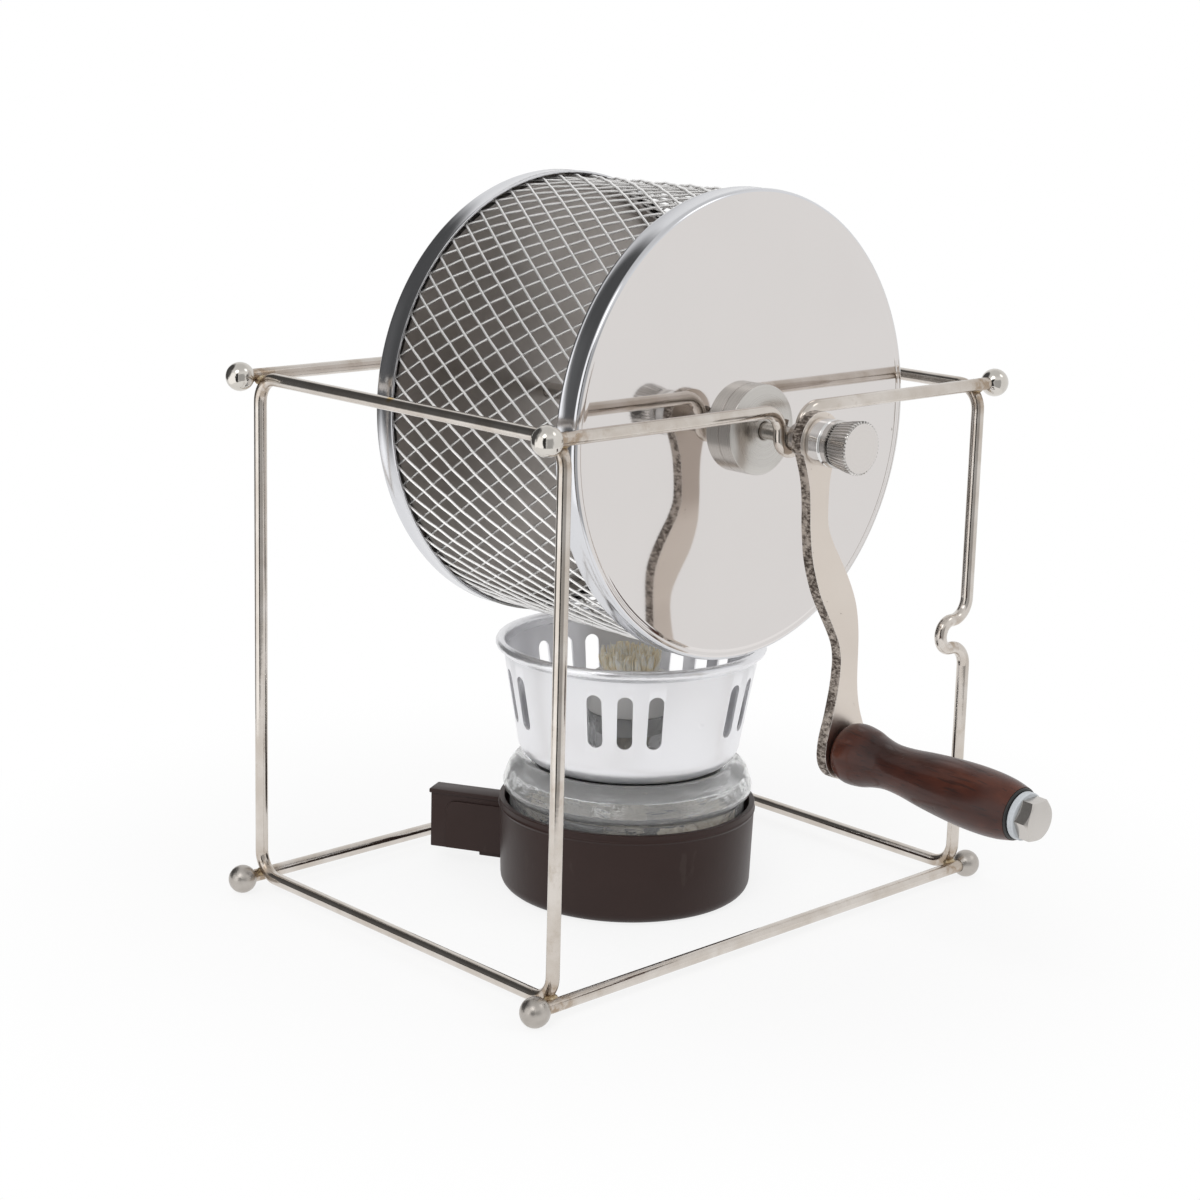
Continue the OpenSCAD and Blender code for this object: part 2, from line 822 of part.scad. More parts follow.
module fuel_bottle() {
    color("lightcyan", 0.4)
        in_lamp()
            rotate_extrude()
                difference() {
                    polygon([
                        [0, bottle_z],
                        [bottle_d / 2 - foot_r, bottle_z],
                        [bottle_d / 2 - foot_r * 0.3, bottle_z + foot_r * 0.3],
                        [bottle_d / 2, bottle_z + foot_r],
                        [bottle_d / 2, lip_low_z],
                        [lip_d / 2, lip_z],
                        [lip_d / 2, lip_high_z],
                        [step_r, lip_top_z],
                        [shoulder_r, shoulder_z + shoulder_rim_h],
                        [shoulder_r - shoulder_rim_w, shoulder_z + shoulder_rim_h],
                        [well_r, shoulder_z],
                        [neck_root_r, shoulder_z],
                        [neck_d / 2, neck_low_z],
                        [neck_d / 2, neck_top_z],
                        [0, neck_top_z]
                    ]);
                    polygon([
                        [-cut, bottle_z + glass_t],
                        [bottle_d / 2 - foot_r, bottle_z + glass_t],
                        [bottle_d / 2 - glass_t, bottle_z + foot_r],
                        [bottle_d / 2 - glass_t, lip_low_z],
                        [lip_d / 2 - glass_t, lip_z],
                        [lip_d / 2 - glass_t, lip_high_z - glass_t / 2],
                        [step_r - glass_t, lip_top_z - glass_t],
                        [shoulder_r - glass_t, shoulder_z - glass_t],
                        [neck_root_r - glass_t, shoulder_z - glass_t],
                        [neck_d / 2 - glass_t, neck_low_z - glass_t],
                        [neck_d / 2 - glass_t, neck_top_z + cut],
                        [-cut, neck_top_z + cut]
                    ]);
                }
}

module neck_ring() {
    color("black")
        in_lamp()
            translate([0, 0, shoulder_z + seat_gap])
                difference() {
                    cylinder(h = neck_ring_t, r = well_r - seat_gap);
                    translate([0, 0, -cut])
                        cylinder(h = neck_ring_t + 2 * cut, r = well_r - neck_ring_w);
                }
}

module wick_holder() {
    color("ivory")
        in_lamp()
            difference() {
                union() {
                    translate([0, 0, holder_top_z - holder_flange_h])
                        cylinder(h = holder_flange_h, d = holder_flange_d);
                    translate([0, 0, holder_top_z - holder_flange_h - holder_spigot_l])
                        cylinder(h = holder_spigot_l + cut, r = neck_d / 2 - glass_t - spigot_gap);
                }
                translate([0, 0, holder_top_z - holder_flange_h - holder_spigot_l - cut])
                    cylinder(
                        h = holder_flange_h + holder_spigot_l + 2 * cut,
                        d = wick_d + 2 * wick_gap
                    );
            }
}

// One wick: a frayed tuft, the straight part in the holder and a coil in the bottle
module wick() {
    color("wheat")
        in_lamp()
            union() {
                translate([0, 0, rope_low_z])
                    cylinder(h = holder_top_z - rope_low_z, d = wick_d);
                translate([0, 0, holder_top_z])
                    cylinder(h = tuft_mid_z - holder_top_z, d1 = wick_d, d2 = tuft_d);
                translate([0, 0, tuft_mid_z])
                    cylinder(h = tuft_top_z - tuft_mid_z, d1 = tuft_d, d2 = wick_d);
                translate([0, 0, coil_z])
                    rotate([0, 90, arm_to_coil])
                        cylinder(h = coil_r, d = arm_to_coil_d);
                translate([0, 0, coil_z])
                    rotate_extrude(angle = coil_arc, start = coil_start)
                        translate([coil_r, 0])
                            circle(d = coil_d);
            }
}

// Half section of the wind guard: floor, round corner, flaring wall and rolled rim
module guard_section() {
    corner_at = [guard_floor_d / 2 - guard_corner_r, guard_corner_r];
    roll_z = guard_h - guard_roll_d / 2;
    flare_z = roll_z - guard_flare_h;
    wall_r = guard_floor_d / 2;
    top_r = guard_top_d / 2;
    translate([guard_hole_r, 0])
        square([corner_at.x - guard_hole_r, guard_t]);
    intersection() {
        translate(corner_at)
            difference() {
                circle(r = guard_corner_r);
                circle(r = guard_corner_r - guard_t);
            }
        translate([corner_at.x, 0])
            square([guard_corner_r, guard_corner_r]);
    }
    polygon([
        [wall_r - guard_t, corner_at.y],
        [wall_r, corner_at.y],
        [top_r, flare_z],
        [top_r + guard_flare, roll_z],
        [top_r + guard_flare - guard_t, roll_z],
        [top_r - guard_t, flare_z]
    ]);
    translate([top_r + guard_flare, roll_z])
        circle(d = guard_roll_d);
}

module wind_guard() {
    color("lightgray")
        in_lamp()
            translate([0, 0, guard_z])
                difference() {
                    rotate_extrude()
                        guard_section();
                    for (group = [0:slot_groups - 1], place = [0:slot_row - 1])
                        rotate([0, 0, slot_first + 360 * group / slot_groups
                            + (place - (slot_row - 1) / 2) * slot_pitch])
                            translate([neck_d, 0, slot_lift])
                                rotate([90, 0, 90])
                                    linear_extrude(height = guard_top_d / 2) {
                                        translate([-slot_w / 2, slot_w / 2])
                                            square([slot_w, slot_l - slot_w]);
                                        for (end = [slot_w / 2, slot_l - slot_w / 2])
                                            translate([0, end])
                                                circle(d = slot_w);
                                    }
                }
}

left_loop();
right_loop();
top_rod_front();
top_rod_rear();
bottom_rod_front();
bottom_rod_rear();
corner_balls();
axle();
drum_mesh();
mesh_hoops();
rear_cover();
rear_hub();
front_cover();
front_hub();
stop_screw();
crank_collar();
crank_arm();
spacer_ring();
thumb_nut();
grip();
grip_ring();
grip_washer();
grip_bolt();
lamp_base();
fuel_bottle();
neck_ring();
wick_holder();
wick();
wind_guard();
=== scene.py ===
import math
import random
import bmesh
import bpy
from mathutils import Matrix, Vector


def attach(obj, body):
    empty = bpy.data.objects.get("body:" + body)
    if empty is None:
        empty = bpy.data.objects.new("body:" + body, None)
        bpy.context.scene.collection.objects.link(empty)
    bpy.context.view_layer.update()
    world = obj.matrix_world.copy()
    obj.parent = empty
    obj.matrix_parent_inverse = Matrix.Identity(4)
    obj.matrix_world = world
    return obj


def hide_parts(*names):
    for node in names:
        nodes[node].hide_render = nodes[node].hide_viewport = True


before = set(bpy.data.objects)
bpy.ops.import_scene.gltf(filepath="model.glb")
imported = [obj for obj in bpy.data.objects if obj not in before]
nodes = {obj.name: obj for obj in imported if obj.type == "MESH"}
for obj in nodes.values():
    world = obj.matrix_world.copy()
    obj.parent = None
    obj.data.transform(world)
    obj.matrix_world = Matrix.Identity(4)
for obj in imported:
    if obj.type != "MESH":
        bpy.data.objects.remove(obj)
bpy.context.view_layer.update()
scene = bpy.context.scene
scene.view_settings.view_transform = "Standard"
print("frame loaded:", len(nodes), "nodes")

mm = 0.001
axleHeight = 0.142  # the axle runs along Y at x = 0
lampAt = Matrix.Translation((0.0044, -0.0008, 0))  # the lamp stands a little off the frame's middle

camera = {
    "place": (-0.47109, -0.48573, 0.24791),
    "turn": (77.92, -1.668, -44.213),  # degrees
    "lens": 73.07,
    "shift": (-0.0333, -0.05),
}
eye = bpy.data.cameras.new("photoCamera")
eye.lens, eye.sensor_width = camera["lens"], 36
eye.shift_x, eye.shift_y = camera["shift"]
eyeObject = bpy.data.objects.new("photoCamera", eye)
eyeObject.location = camera["place"]
eyeObject.rotation_euler = [math.radians(a) for a in camera["turn"]]
scene.collection.objects.link(eyeObject)
scene.camera = eyeObject


# Shader maths: a wrapped socket, so that masks are written as plain sums

def operator(kind, reflected=False):
    def method(self, other):
        return self.finish.maths(kind, *((other, self) if reflected else (self, other)))
    return method


class Signal:
    def __init__(self, finish, socket):
        self.finish, self.socket = finish, socket

    __add__, __radd__ = operator("ADD"), operator("ADD", True)
    __sub__, __rsub__ = operator("SUBTRACT"), operator("SUBTRACT", True)
    __mul__, __rmul__ = operator("MULTIPLY"), operator("MULTIPLY", True)
    __truediv__, __rtruediv__ = operator("DIVIDE"), operator("DIVIDE", True)
    __pow__ = operator("POWER")
    __gt__ = operator("GREATER_THAN")
    __lt__ = operator("LESS_THAN")


class Finish:
    def __init__(self, name, tree=None):
        if tree is None:
            self.material = bpy.data.materials.new(name)
            self.material.use_nodes = True
            tree = self.material.node_tree
            self.shader = tree.nodes["Principled BSDF"]
            self.out = tree.nodes["Material Output"]
        self.tree = tree

    # any node: its settings come first, then the values or links of its sockets
    def node(self, kind, settings=None, sockets=None, out=0):
        made = self.tree.nodes.new(kind)
        for key, value in (settings or {}).items():
            if key == "stops":
                ramp = made.color_ramp
                while len(ramp.elements) < len(value):
                    ramp.elements.new(0.5)
                for element, (at, colour) in zip(ramp.elements, value):
                    element.position = at
                    element.color = (*colour, 1) if isinstance(colour, tuple) else (colour,) * 3 + (1,)
            else:
                setattr(made, key, value)
        for key, value in (sockets or {}).items():
            self.plug(made.inputs[key], value)
        return Signal(self, made.outputs[out])

    def maths(self, operation, *values):
        return self.node("ShaderNodeMath", {"operation": operation}, dict(enumerate(values)))

    def plug(self, socket, value):
        if isinstance(value, Signal):
            self.tree.links.new(value.socket, socket)
        elif isinstance(value, tuple) and len(value) == 3 and socket.type == "RGBA":
            socket.default_value = (*value, 1)
        else:
            socket.default_value = value

    def look(self, **values):
        for key, value in values.items():
            words = "".join(" " + c if c.isupper() else c for c in key).title()
            self.plug(self.shader.inputs[{"Ior": "IOR"}.get(words, words)], value)

    def place(self, scale=(1, 1, 1), shift=(0, 0, 0)):
        at = self.node("ShaderNodeTexCoord", out="Object")
        return self.node("ShaderNodeMapping", {"vector_type": "POINT"},
                         {"Vector": at, "Location": shift, "Scale": scale})

    def axes(self, vector):
        split = self.node("ShaderNodeSeparateXYZ", None, {0: vector})
        return [Signal(self, split.socket.node.outputs[i]) for i in range(3)]

    def noise(self, size, at=None, detail=3.0, rough=0.5, bend=0.0):
        return self.node("ShaderNodeTexNoise", None, {
            "Vector": at or self.place(), "Scale": 1 / size, "Detail": detail,
            "Roughness": rough, "Distortion": bend})

    def ramp(self, value, *stops):
        return self.node("ShaderNodeValToRGB", {"stops": stops}, {0: value})

    def blend(self, amount, first, second):
        return self.node("ShaderNodeMix", {"data_type": "RGBA"}, {0: amount, 6: first, 7: second}, 2)

    def bump(self, height, depth, strength=1.0):
        return self.node("ShaderNodeBump", None, {"Height": height, "Distance": depth, "Strength": strength})

    def fade(self, value, start, end):
        # 0 at start and 1 at end, in a soft curve
        return self.node("ShaderNodeMapRange", {"interpolation_type": "SMOOTHSTEP"},
                         {0: value, 1: start, 2: end, 3: 0.0, 4: 1.0})

    def near(self, vector, point, inner, outer):
        # 1 closer to the point than inner, 0 beyond outer
        far = self.node("ShaderNodeVectorMath", {"operation": "DISTANCE"}, {0: vector, 1: point}, 1)
        return self.fade(far, outer, inner)

    def polar(self, shift=(0, 0, 0)):
        # angle about Z, radius and height
        x, y, z = self.axes(self.place(shift=shift))
        return self.maths("ARCTAN2", y, x), (x * x + y * y) ** 0.5, z

    def fromAxle(self):
        # place along the axle and distance from its centre line
        x, y, z = self.axes(self.place(shift=(0, 0, -axleHeight)))
        return y, (x * x + z * z) ** 0.5

    def mixed(self, x, y, z):
        return self.node("ShaderNodeCombineXYZ", None, {0: x, 1: y, 2: z})


# Finishes

def rodNickel():
    f = Finish("rodNickel")
    cloud = f.noise(0.010, detail=4)
    grain = f.noise(0.0008, detail=2)
    at = f.place()
    corner = f.node("ShaderNodeVectorMath", {"operation": "ABSOLUTE"}, {0: f.place(shift=(0, 0, -0.0765))})
    blots = f.fade(f.noise(0.0024, detail=4), 0.42, 0.60)
    welded = f.near(corner, (0.0815, 0.0627, 0.0725), 0.0035, 0.010) * (0.35 + blots * 0.65)
    notch = f.near(at, (0.0735, -0.0622, 0.0765), 0.001, 0.0075) * blots
    drop = f.near(at, (-0.0800, 0.0040, 0.1495), 0.0008, 0.0021)
    stain = f.maths("MAXIMUM", welded * 0.75, notch * 0.8)
    smear = f.fade(f.noise(0.007, detail=5, rough=0.65), 0.55, 0.72) * 0.35
    colour = f.blend(f.fade(cloud, 0.3, 0.7), (0.575, 0.520, 0.465), (0.69, 0.645, 0.60))
    colour = f.blend(smear, colour, (0.42, 0.35, 0.28))
    colour = f.blend(stain, colour, (0.30, 0.205, 0.12))
    colour = f.blend(drop, colour, (0.62, 0.42, 0.15))
    f.look(baseColor=colour, metallic=1.0, roughness=0.08 + cloud * 0.06 + grain * 0.03 + stain * 0.2,
           normal=f.bump(f.noise(0.004, detail=3), 0.00004))
    return f.material


def ballNickel():
    f = Finish("ballNickel")
    height = f.axes(f.place())[2]
    cloud = f.noise(0.005, detail=4)
    worn = 1 - f.fade(height, 0.03, 0.1)  # the feet are duller than the upper balls
    colour = f.blend(worn, f.blend(cloud, (0.56, 0.53, 0.48), (0.74, 0.71, 0.67)),
                     f.blend(cloud, (0.38, 0.35, 0.32), (0.60, 0.565, 0.525)))
    f.look(baseColor=colour, metallic=1.0, roughness=0.05 + cloud * 0.06 + worn * 0.24,
           normal=f.bump(f.noise(0.0016, detail=3), 0.00007))
    return f.material


def plainSteel(name, base, dark, rough):
    f = Finish(name)
    cloud = f.noise(0.010, detail=4)
    grain = f.noise(0.0009, detail=2)
    f.look(baseColor=f.blend(f.fade(cloud, 0.3, 0.7), dark, base), metallic=1.0,
           roughness=rough + (grain - 0.5) * 0.12 + (cloud - 0.5) * 0.10,
           normal=f.bump(f.noise(0.004, detail=3), 0.00006))
    return f.material


def meshWire(name, dark, light, rough):
    f = Finish(name)
    cloud = f.noise(0.01, detail=3)
    f.look(baseColor=f.blend(cloud, dark, light), metallic=0.72, roughness=rough + cloud * 0.1,
           normal=f.bump(f.noise(0.0008), 0.00004))
    return f.material


def coverMirror(name, innerSide):
    f = Finish(name)
    y, radius = f.fromAxle()
    cloud = f.noise(0.03, detail=3)
    specks = f.node("ShaderNodeTexVoronoi", {"feature": "F1"},
                    {"Vector": f.place(), "Scale": 120.0, "Randomness": 1.0}, "Distance")
    pit = f.fade(specks, 0.07, 0.02) * f.fade(f.noise(0.018, detail=1), 0.52, 0.60)
    band = radius > 0.0626
    # the face inside the drum gets a dark grey colour, painted shade for the dark inside of the drum, and a
    # rougher surface
    inside = (y > -0.04765) if innerSide == "front" else (y < 0.03205)
    inside = inside * (1 - band)
    outer = f.blend(cloud, (0.735, 0.705, 0.69), (0.765, 0.735, 0.72))
    outer = f.blend(band, outer, f.blend(cloud, (0.66, 0.665, 0.69), (0.74, 0.745, 0.77)))
    # painted shade: the dark grey colour of the face inside the drum
    inner = f.blend(f.noise(0.015, detail=5), (0.30, 0.275, 0.255), (0.46, 0.43, 0.41))
    height = f.noise(0.035, detail=1) * 0.3 - pit * 0.25
    f.look(baseColor=f.blend(inside, outer, inner), metallic=1.0,
           roughness=0.035 + cloud * 0.03 + inside * 0.25 + band * 0.10 + pit * 0.2,
           normal=f.bump(height, 0.0001, 0.5))
    return f.material


def turnedSteel():
    f = Finish("turnedSteel")
    y, radius = f.fromAxle()
    rings = f.noise(1.0, f.mixed(radius * 1900, y * 2600, 0.0), detail=3)
    cloud = f.noise(0.007, detail=3)
    colour = f.blend(rings * 0.7 + cloud * 0.3, (0.50, 0.48, 0.455), (0.66, 0.64, 0.61))
    f.look(baseColor=colour, metallic=1.0, roughness=0.24 + rings * 0.08,
           normal=f.bump(rings, 0.000012, 0.5))
    return f.material


def armFace(name, low, high, rough):
    f = Finish(name)
    cloud = f.noise(0.02, detail=4)
    pits = f.fade(f.noise(0.0011, detail=2), 0.70, 0.76)
    spots = pits * f.fade(f.noise(0.012, detail=2), 0.5, 0.65)
    f.look(baseColor=f.blend(spots, f.blend(cloud, low, high), (0.20, 0.16, 0.13)), metallic=1.0,
           roughness=rough + cloud * 0.1 + spots * 0.3,
           normal=f.bump(f.noise(0.003, detail=4) * 0.5 - spots, 0.0001))
    return f.material


def armEdge():
    f = Finish("armEdge")
    cut = f.noise(0.0009, f.place(scale=(1.0, 0.5, 1.0)), detail=5, rough=0.75)
    blot = f.noise(0.005, detail=3)
    mask = f.fade(cut * 0.7 + blot * 0.3, 0.42, 0.60)
    f.look(baseColor=f.blend(mask, (0.09, 0.070, 0.058), (0.60, 0.53, 0.47)), metallic=0.9,
           roughness=0.55 - mask * 0.22, normal=f.bump(cut, 0.0005))
    return f.material


def chrome(name, base=(0.80, 0.79, 0.78), rough=0.05):
    f = Finish(name)
    cloud = f.noise(0.006, detail=2)
    f.look(baseColor=f.blend(cloud, tuple(0.88 * c for c in base), base), metallic=1.0,
           roughness=rough + cloud * 0.05, normal=f.bump(cloud, 0.00005))
    return f.material


def nutFront():
    f = Finish("nutFront")
    radius = f.fromAxle()[1]
    rings = f.noise(1.0, f.mixed(radius * 2200, 0.0, 0.0), detail=2)
    centre = f.fade(radius, 0.0022, 0.0006)
    f.look(baseColor=f.blend(rings, (0.70, 0.665, 0.64), (0.765, 0.73, 0.705)), metallic=1.0,
           roughness=0.30 + rings * 0.06, normal=f.bump(rings * 0.6 - centre, 0.00002, 0.5))
    return f.material


gripStart = Vector((0.003568, -0.0838, 0.060278))
gripTilt = 2.9  # degrees downwards


def lacqueredWood():
    f = Finish("lacqueredWood")
    # Y runs along the grip; the grain is long and thin
    at = f.place(scale=(1, 0.075, 1))
    grain = f.noise(0.0016, at, detail=5, rough=0.6, bend=0.4)
    cloud = f.noise(0.014, f.place(scale=(1, 0.55, 1)), detail=4)
    pores = f.fade(f.noise(0.0007, at, detail=2), 0.58, 0.68)
    dents = f.fade(f.noise(0.0042, detail=2), 0.66, 0.76)
    warm = f.ramp(cloud, (0.36, (0.026, 0.0060, 0.0034)), (0.52, (0.064, 0.0140, 0.0062)),
                  (0.68, (0.150, 0.039, 0.016)))
    colour = f.blend(grain * 0.5, warm, (0.014, 0.0050, 0.0038))
    f.look(baseColor=f.blend(pores * 0.5, colour, (0.007, 0.003, 0.003)), roughness=0.40 + cloud * 0.12,
           normal=f.bump(grain * 0.25 - dents * 0.8 - pores * 0.1, 0.0002, 0.8),
           coatWeight=0.4, coatRoughness=0.10, ior=1.33)
    return f.material


def brownPlastic():
    f = Finish("brownPlastic")
    cloud = f.noise(0.02, detail=4)
    fine = f.noise(0.0006, detail=2)
    marks = f.fade(f.noise(0.006, f.place(scale=(1.4, 1.4, 0.5)), detail=4), 0.66, 0.76)
    base = f.blend(cloud, (0.0250, 0.0128, 0.0108), (0.0350, 0.0190, 0.0162))
    f.look(baseColor=f.blend(marks * 0.3, base, (0.062, 0.047, 0.042)),
           roughness=0.34 + cloud * 0.12 + marks * 0.1,
           normal=f.bump(fine * 0.3 + f.noise(0.006, detail=2), 0.00005), ior=1.33)
    return f.material


def pressedGlass():
    f = Finish("pressedGlass")
    angle, radius, height = f.polar(shift=-lampAt.translation)
    flow = f.noise(1.0, f.mixed(angle * 3.2, radius * 620, height * 420), detail=3, bend=0.5)
    lump = f.noise(0.009, detail=2)
    streak = f.fade(flow, 0.56, 0.70)
    f.look(baseColor=f.blend(lump, (0.94, 0.95, 0.95), (1.0, 1.0, 1.0)), roughness=0.03 + streak * 0.20,
           normal=f.bump(flow * 0.5 + lump, 0.0007, 0.7), transmissionWeight=0.86, ior=1.46)
    return f.material


def blackRubber(name, base=0.012, rough=0.35):
    f = Finish(name)
    cloud = f.noise(0.004, detail=3)
    f.look(baseColor=f.blend(cloud, (base,) * 3, (base * 1.9,) * 3), roughness=rough + cloud * 0.15,
           normal=f.bump(cloud, 0.00005))
    return f.material


def palePlastic():
    f = Finish("palePlastic")
    cloud = f.noise(0.004, detail=3)
    f.look(baseColor=f.blend(cloud, (0.50, 0.53, 0.56), (0.64, 0.67, 0.70)), roughness=0.34 + cloud * 0.1,
           normal=f.bump(cloud, 0.00004))
    return f.material


def spunAluminium():
    f = Finish("spunAluminium")
    angle, radius, height = f.polar(shift=-lampAt.translation)
    cloud = f.noise(0.03, detail=3)
    spin = f.noise(1.0, f.mixed(angle * 1.2, 0.0, height * 2200), detail=2)
    roll = f.fade(height, 0.0703, 0.0708)
    crinkle = f.noise(1.0, f.mixed(angle * 11, radius * 300, height * 1300), detail=4, rough=0.7)
    ding = f.fade(f.noise(0.0052, detail=1), 0.72, 0.80)
    relief = spin * 0.03 + f.noise(0.018, detail=2) * 0.6 + roll * crinkle * 0.5 - ding * 0.3
    f.look(baseColor=f.blend(cloud, (0.84, 0.84, 0.865), (0.91, 0.91, 0.93)), metallic=0.82,
           roughness=0.25 + cloud * 0.08 + spin * 0.04 - roll * 0.08, normal=f.bump(relief, 0.0003))
    return f.material


def glazedClay():
    f = Finish("glazedClay")
    cloud = f.noise(0.006, detail=3)
    f.look(baseColor=f.blend(cloud, (0.74, 0.73, 0.71), (0.84, 0.835, 0.82)), roughness=0.3 + cloud * 0.15,
           normal=f.bump(cloud, 0.0001))
    return f.material


def wickCotton(name, dark, light, deep):
    f = Finish(name)
    cloud = f.noise(0.0035, detail=4)
    fibre = f.noise(0.0006, f.place(scale=(1, 1, 0.2)), detail=3)
    low = f.fade(f.axes(f.place())[2], 0.0665, 0.0630)
    shade = f.blend(f.fade(cloud * 0.55 + fibre * 0.45, 0.36, 0.62), dark, light)
    f.look(baseColor=f.blend(low * deep, shade, (0.36, 0.27, 0.12)), roughness=0.8,
           normal=f.bump(fibre, 0.00025))
    return f.material


def weldTarnish():
    f = Finish("weldTarnish")
    blot = f.noise(0.0022, detail=4)
    colour = f.ramp(blot, (0.35, (0.16, 0.10, 0.06)), (0.5, (0.42, 0.32, 0.19)), (0.65, (0.62, 0.55, 0.42)))
    f.look(baseColor=colour, metallic=0.85, roughness=0.34 + blot * 0.2, normal=f.bump(blot, 0.0004))
    return f.material


finishes = {
    "rod": rodNickel(), "ball": ballNickel(),
    "small": plainSteel("smallSteel", (0.60, 0.57, 0.54), (0.40, 0.37, 0.35), 0.24),
    "axle": plainSteel("axleSteel", (0.66, 0.63, 0.60), (0.50, 0.47, 0.44), 0.2),
    "hoop": plainSteel("hoopSteel", (0.50, 0.48, 0.46), (0.36, 0.34, 0.33), 0.3),
    # both wire families are the same wire: the outer family's near-white colour is a painted highlight, the
    # inner family's grey is painted shade
    "wirePaintedHighlight": meshWire("wirePaintedHighlight", (0.95, 0.94, 0.93), (1.0, 0.99, 0.98), 0.24),
    "wirePaintedShade": meshWire("wirePaintedShade", (0.52, 0.51, 0.50), (0.78, 0.77, 0.76), 0.2),
    "frontCover": coverMirror("frontMirror", "front"), "rearCover": coverMirror("rearMirror", "rear"),
    "hub": turnedSteel(), "armFace": armFace("armFace", (0.68, 0.61, 0.545), (0.76, 0.695, 0.635), 0.28),
    # the bevel faces: smoother steel, and a lighter colour that is a painted highlight along the edges
    "armRimPaintedHighlight": armFace("armRimPaintedHighlight", (0.80, 0.76, 0.72), (0.90, 0.87, 0.84), 0.16), "armEdge": armEdge(),
    "chrome": chrome("ringChrome"), "knurl": chrome("nutKnurl", (0.66, 0.64, 0.62), 0.14),
    "nutFront": nutFront(), "wood": lacqueredWood(), "plastic": brownPlastic(), "glass": pressedGlass(),
    "black": blackRubber("blackPlastic"), "rubber": blackRubber("neckRubber", 0.02, 0.5),
    "washer": palePlastic(), "bolt": chrome("boltNickel", (0.62, 0.59, 0.56), 0.2),
    "guard": spunAluminium(), "clay": glazedClay(), "weld": weldTarnish(),
    "tuft": wickCotton("frayedCotton", (0.95, 0.84, 0.62), (1.0, 0.99, 0.93), 0.2),
    "rope": wickCotton("ropeCotton", (0.50, 0.43, 0.33), (0.78, 0.70, 0.57), 0.0),
}
print("finishes:", len(finishes))


# Making pieces

mergeDist = 1e-6


def meshOf(name, bm):
    bmesh.ops.recalc_face_normals(bm, faces=bm.faces)
    mesh = bpy.data.meshes.new(name)
    bm.to_mesh(mesh)
    bm.free()
    return mesh


def settle(name, bm, body, stands, *materials, **finish):
    bmesh.ops.remove_doubles(bm, verts=bm.verts, dist=mergeDist)
    return dress(name, meshOf(name, bm), body, stands, *materials, **finish)


def dress(name, mesh, body, stands, *materials, bevel=None, bevelFinish=-1, sharp=32.0, at=None):
    if at is not None:
        mesh.transform(at)
    piece = bpy.data.objects.new(name, mesh)
    scene.collection.objects.link(piece)
    for material in materials:
        mesh.materials.append(material)
    mesh.shade_smooth()
    mesh.set_sharp_from_angle(angle=math.radians(sharp))
    if bevel:
        edge = piece.modifiers.new("edge", "BEVEL")
        edge.width, edge.segments = bevel
        edge.limit_method, edge.angle_limit = "ANGLE", math.radians(sharp)
        edge.use_clamp_overlap = True
        edge.harden_normals = True
        edge.material = bevelFinish
    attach(piece, body)
    if stands:
        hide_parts(*stands)
    return piece


def onAxle(y, toCrank=True):
    # local +Z points to the crank end, or away from it
    tip = Matrix.Rotation(math.radians(90 if toCrank else -90), 4, "X")
    return Matrix.Translation((0, y, axleHeight)) @ tip


def onGrip(along):
    tilt = Matrix.Rotation(math.radians(90 + gripTilt), 4, "X")
    return Matrix.Translation(gripStart) @ tilt @ Matrix.Translation((0, 0, along))


def turned(profile, place=None, steps=96, closed=False):
    # profile holds (radius, height) in millimetres
    bm = bmesh.new()
    corners = [bm.verts.new((r * mm, 0, h * mm)) for r, h in profile]
    links = list(zip(corners, corners[1:])) + ([(corners[-1], corners[0])] if closed else [])
    edges = [bm.edges.new(pair) for pair in links]
    bmesh.ops.spin(bm, geom=corners + edges, cent=(0, 0, 0), axis=(0, 0, 1), dvec=(0, 0, 0),
                   angle=math.tau, steps=steps, use_merge=True, use_duplicate=False)
    bmesh.ops.remove_doubles(bm, verts=bm.verts, dist=mergeDist)
    if place is not None:
        bmesh.ops.transform(bm, matrix=place, verts=bm.verts)
    return bm


def around(x, y, radius, degrees):
    # points on a circle about (x, y)
    return [(x + radius * math.cos(a), y + radius * math.sin(a)) for a in map(math.radians, degrees)]


def eased(points, steps=6):
    # a smooth line through the points
    line = []
    for i in range(len(points) - 1):
        a, b, c, d = (Vector(points[j]) for j in (max(i - 1, 0), i, i + 1, min(i + 2, len(points) - 1)))
        for k in range(steps):
            t = k / steps
            line.append((2 * b + t * (c - a) + t * t * (2 * a - 5 * b + 4 * c - d)
                         + t ** 3 * (3 * b - a - 3 * c + d)) / 2)
    return [tuple(p) for p in line] + [tuple(points[-1])]


def edgesOf(verts):
    return list({e for v in verts for e in v.link_edges})


def only(kind, geom):
    return [g for g in geom if isinstance(g, kind)]


def swing(bm, verts, degrees, axis):
    turn = Matrix.Rotation(math.radians(degrees), 3, axis)
    bmesh.ops.rotate(bm, cent=(0, 0, 0), matrix=turn, verts=verts)


def bevelled(bm, edges, offset, segments):
    return bmesh.ops.bevel(bm, geom=edges, offset=offset * mm, segments=segments, affect="EDGES",
                           profile=0.5, material=-1)


def block(bm, low, high):
    made = bmesh.ops.create_cube(bm, size=1.0)["verts"]
    bmesh.ops.scale(bm, vec=[(b - a) * mm for a, b in zip(low, high)], verts=made)
    bmesh.ops.translate(bm, vec=[(a + b) / 2 * mm for a, b in zip(low, high)], verts=made)
    return made


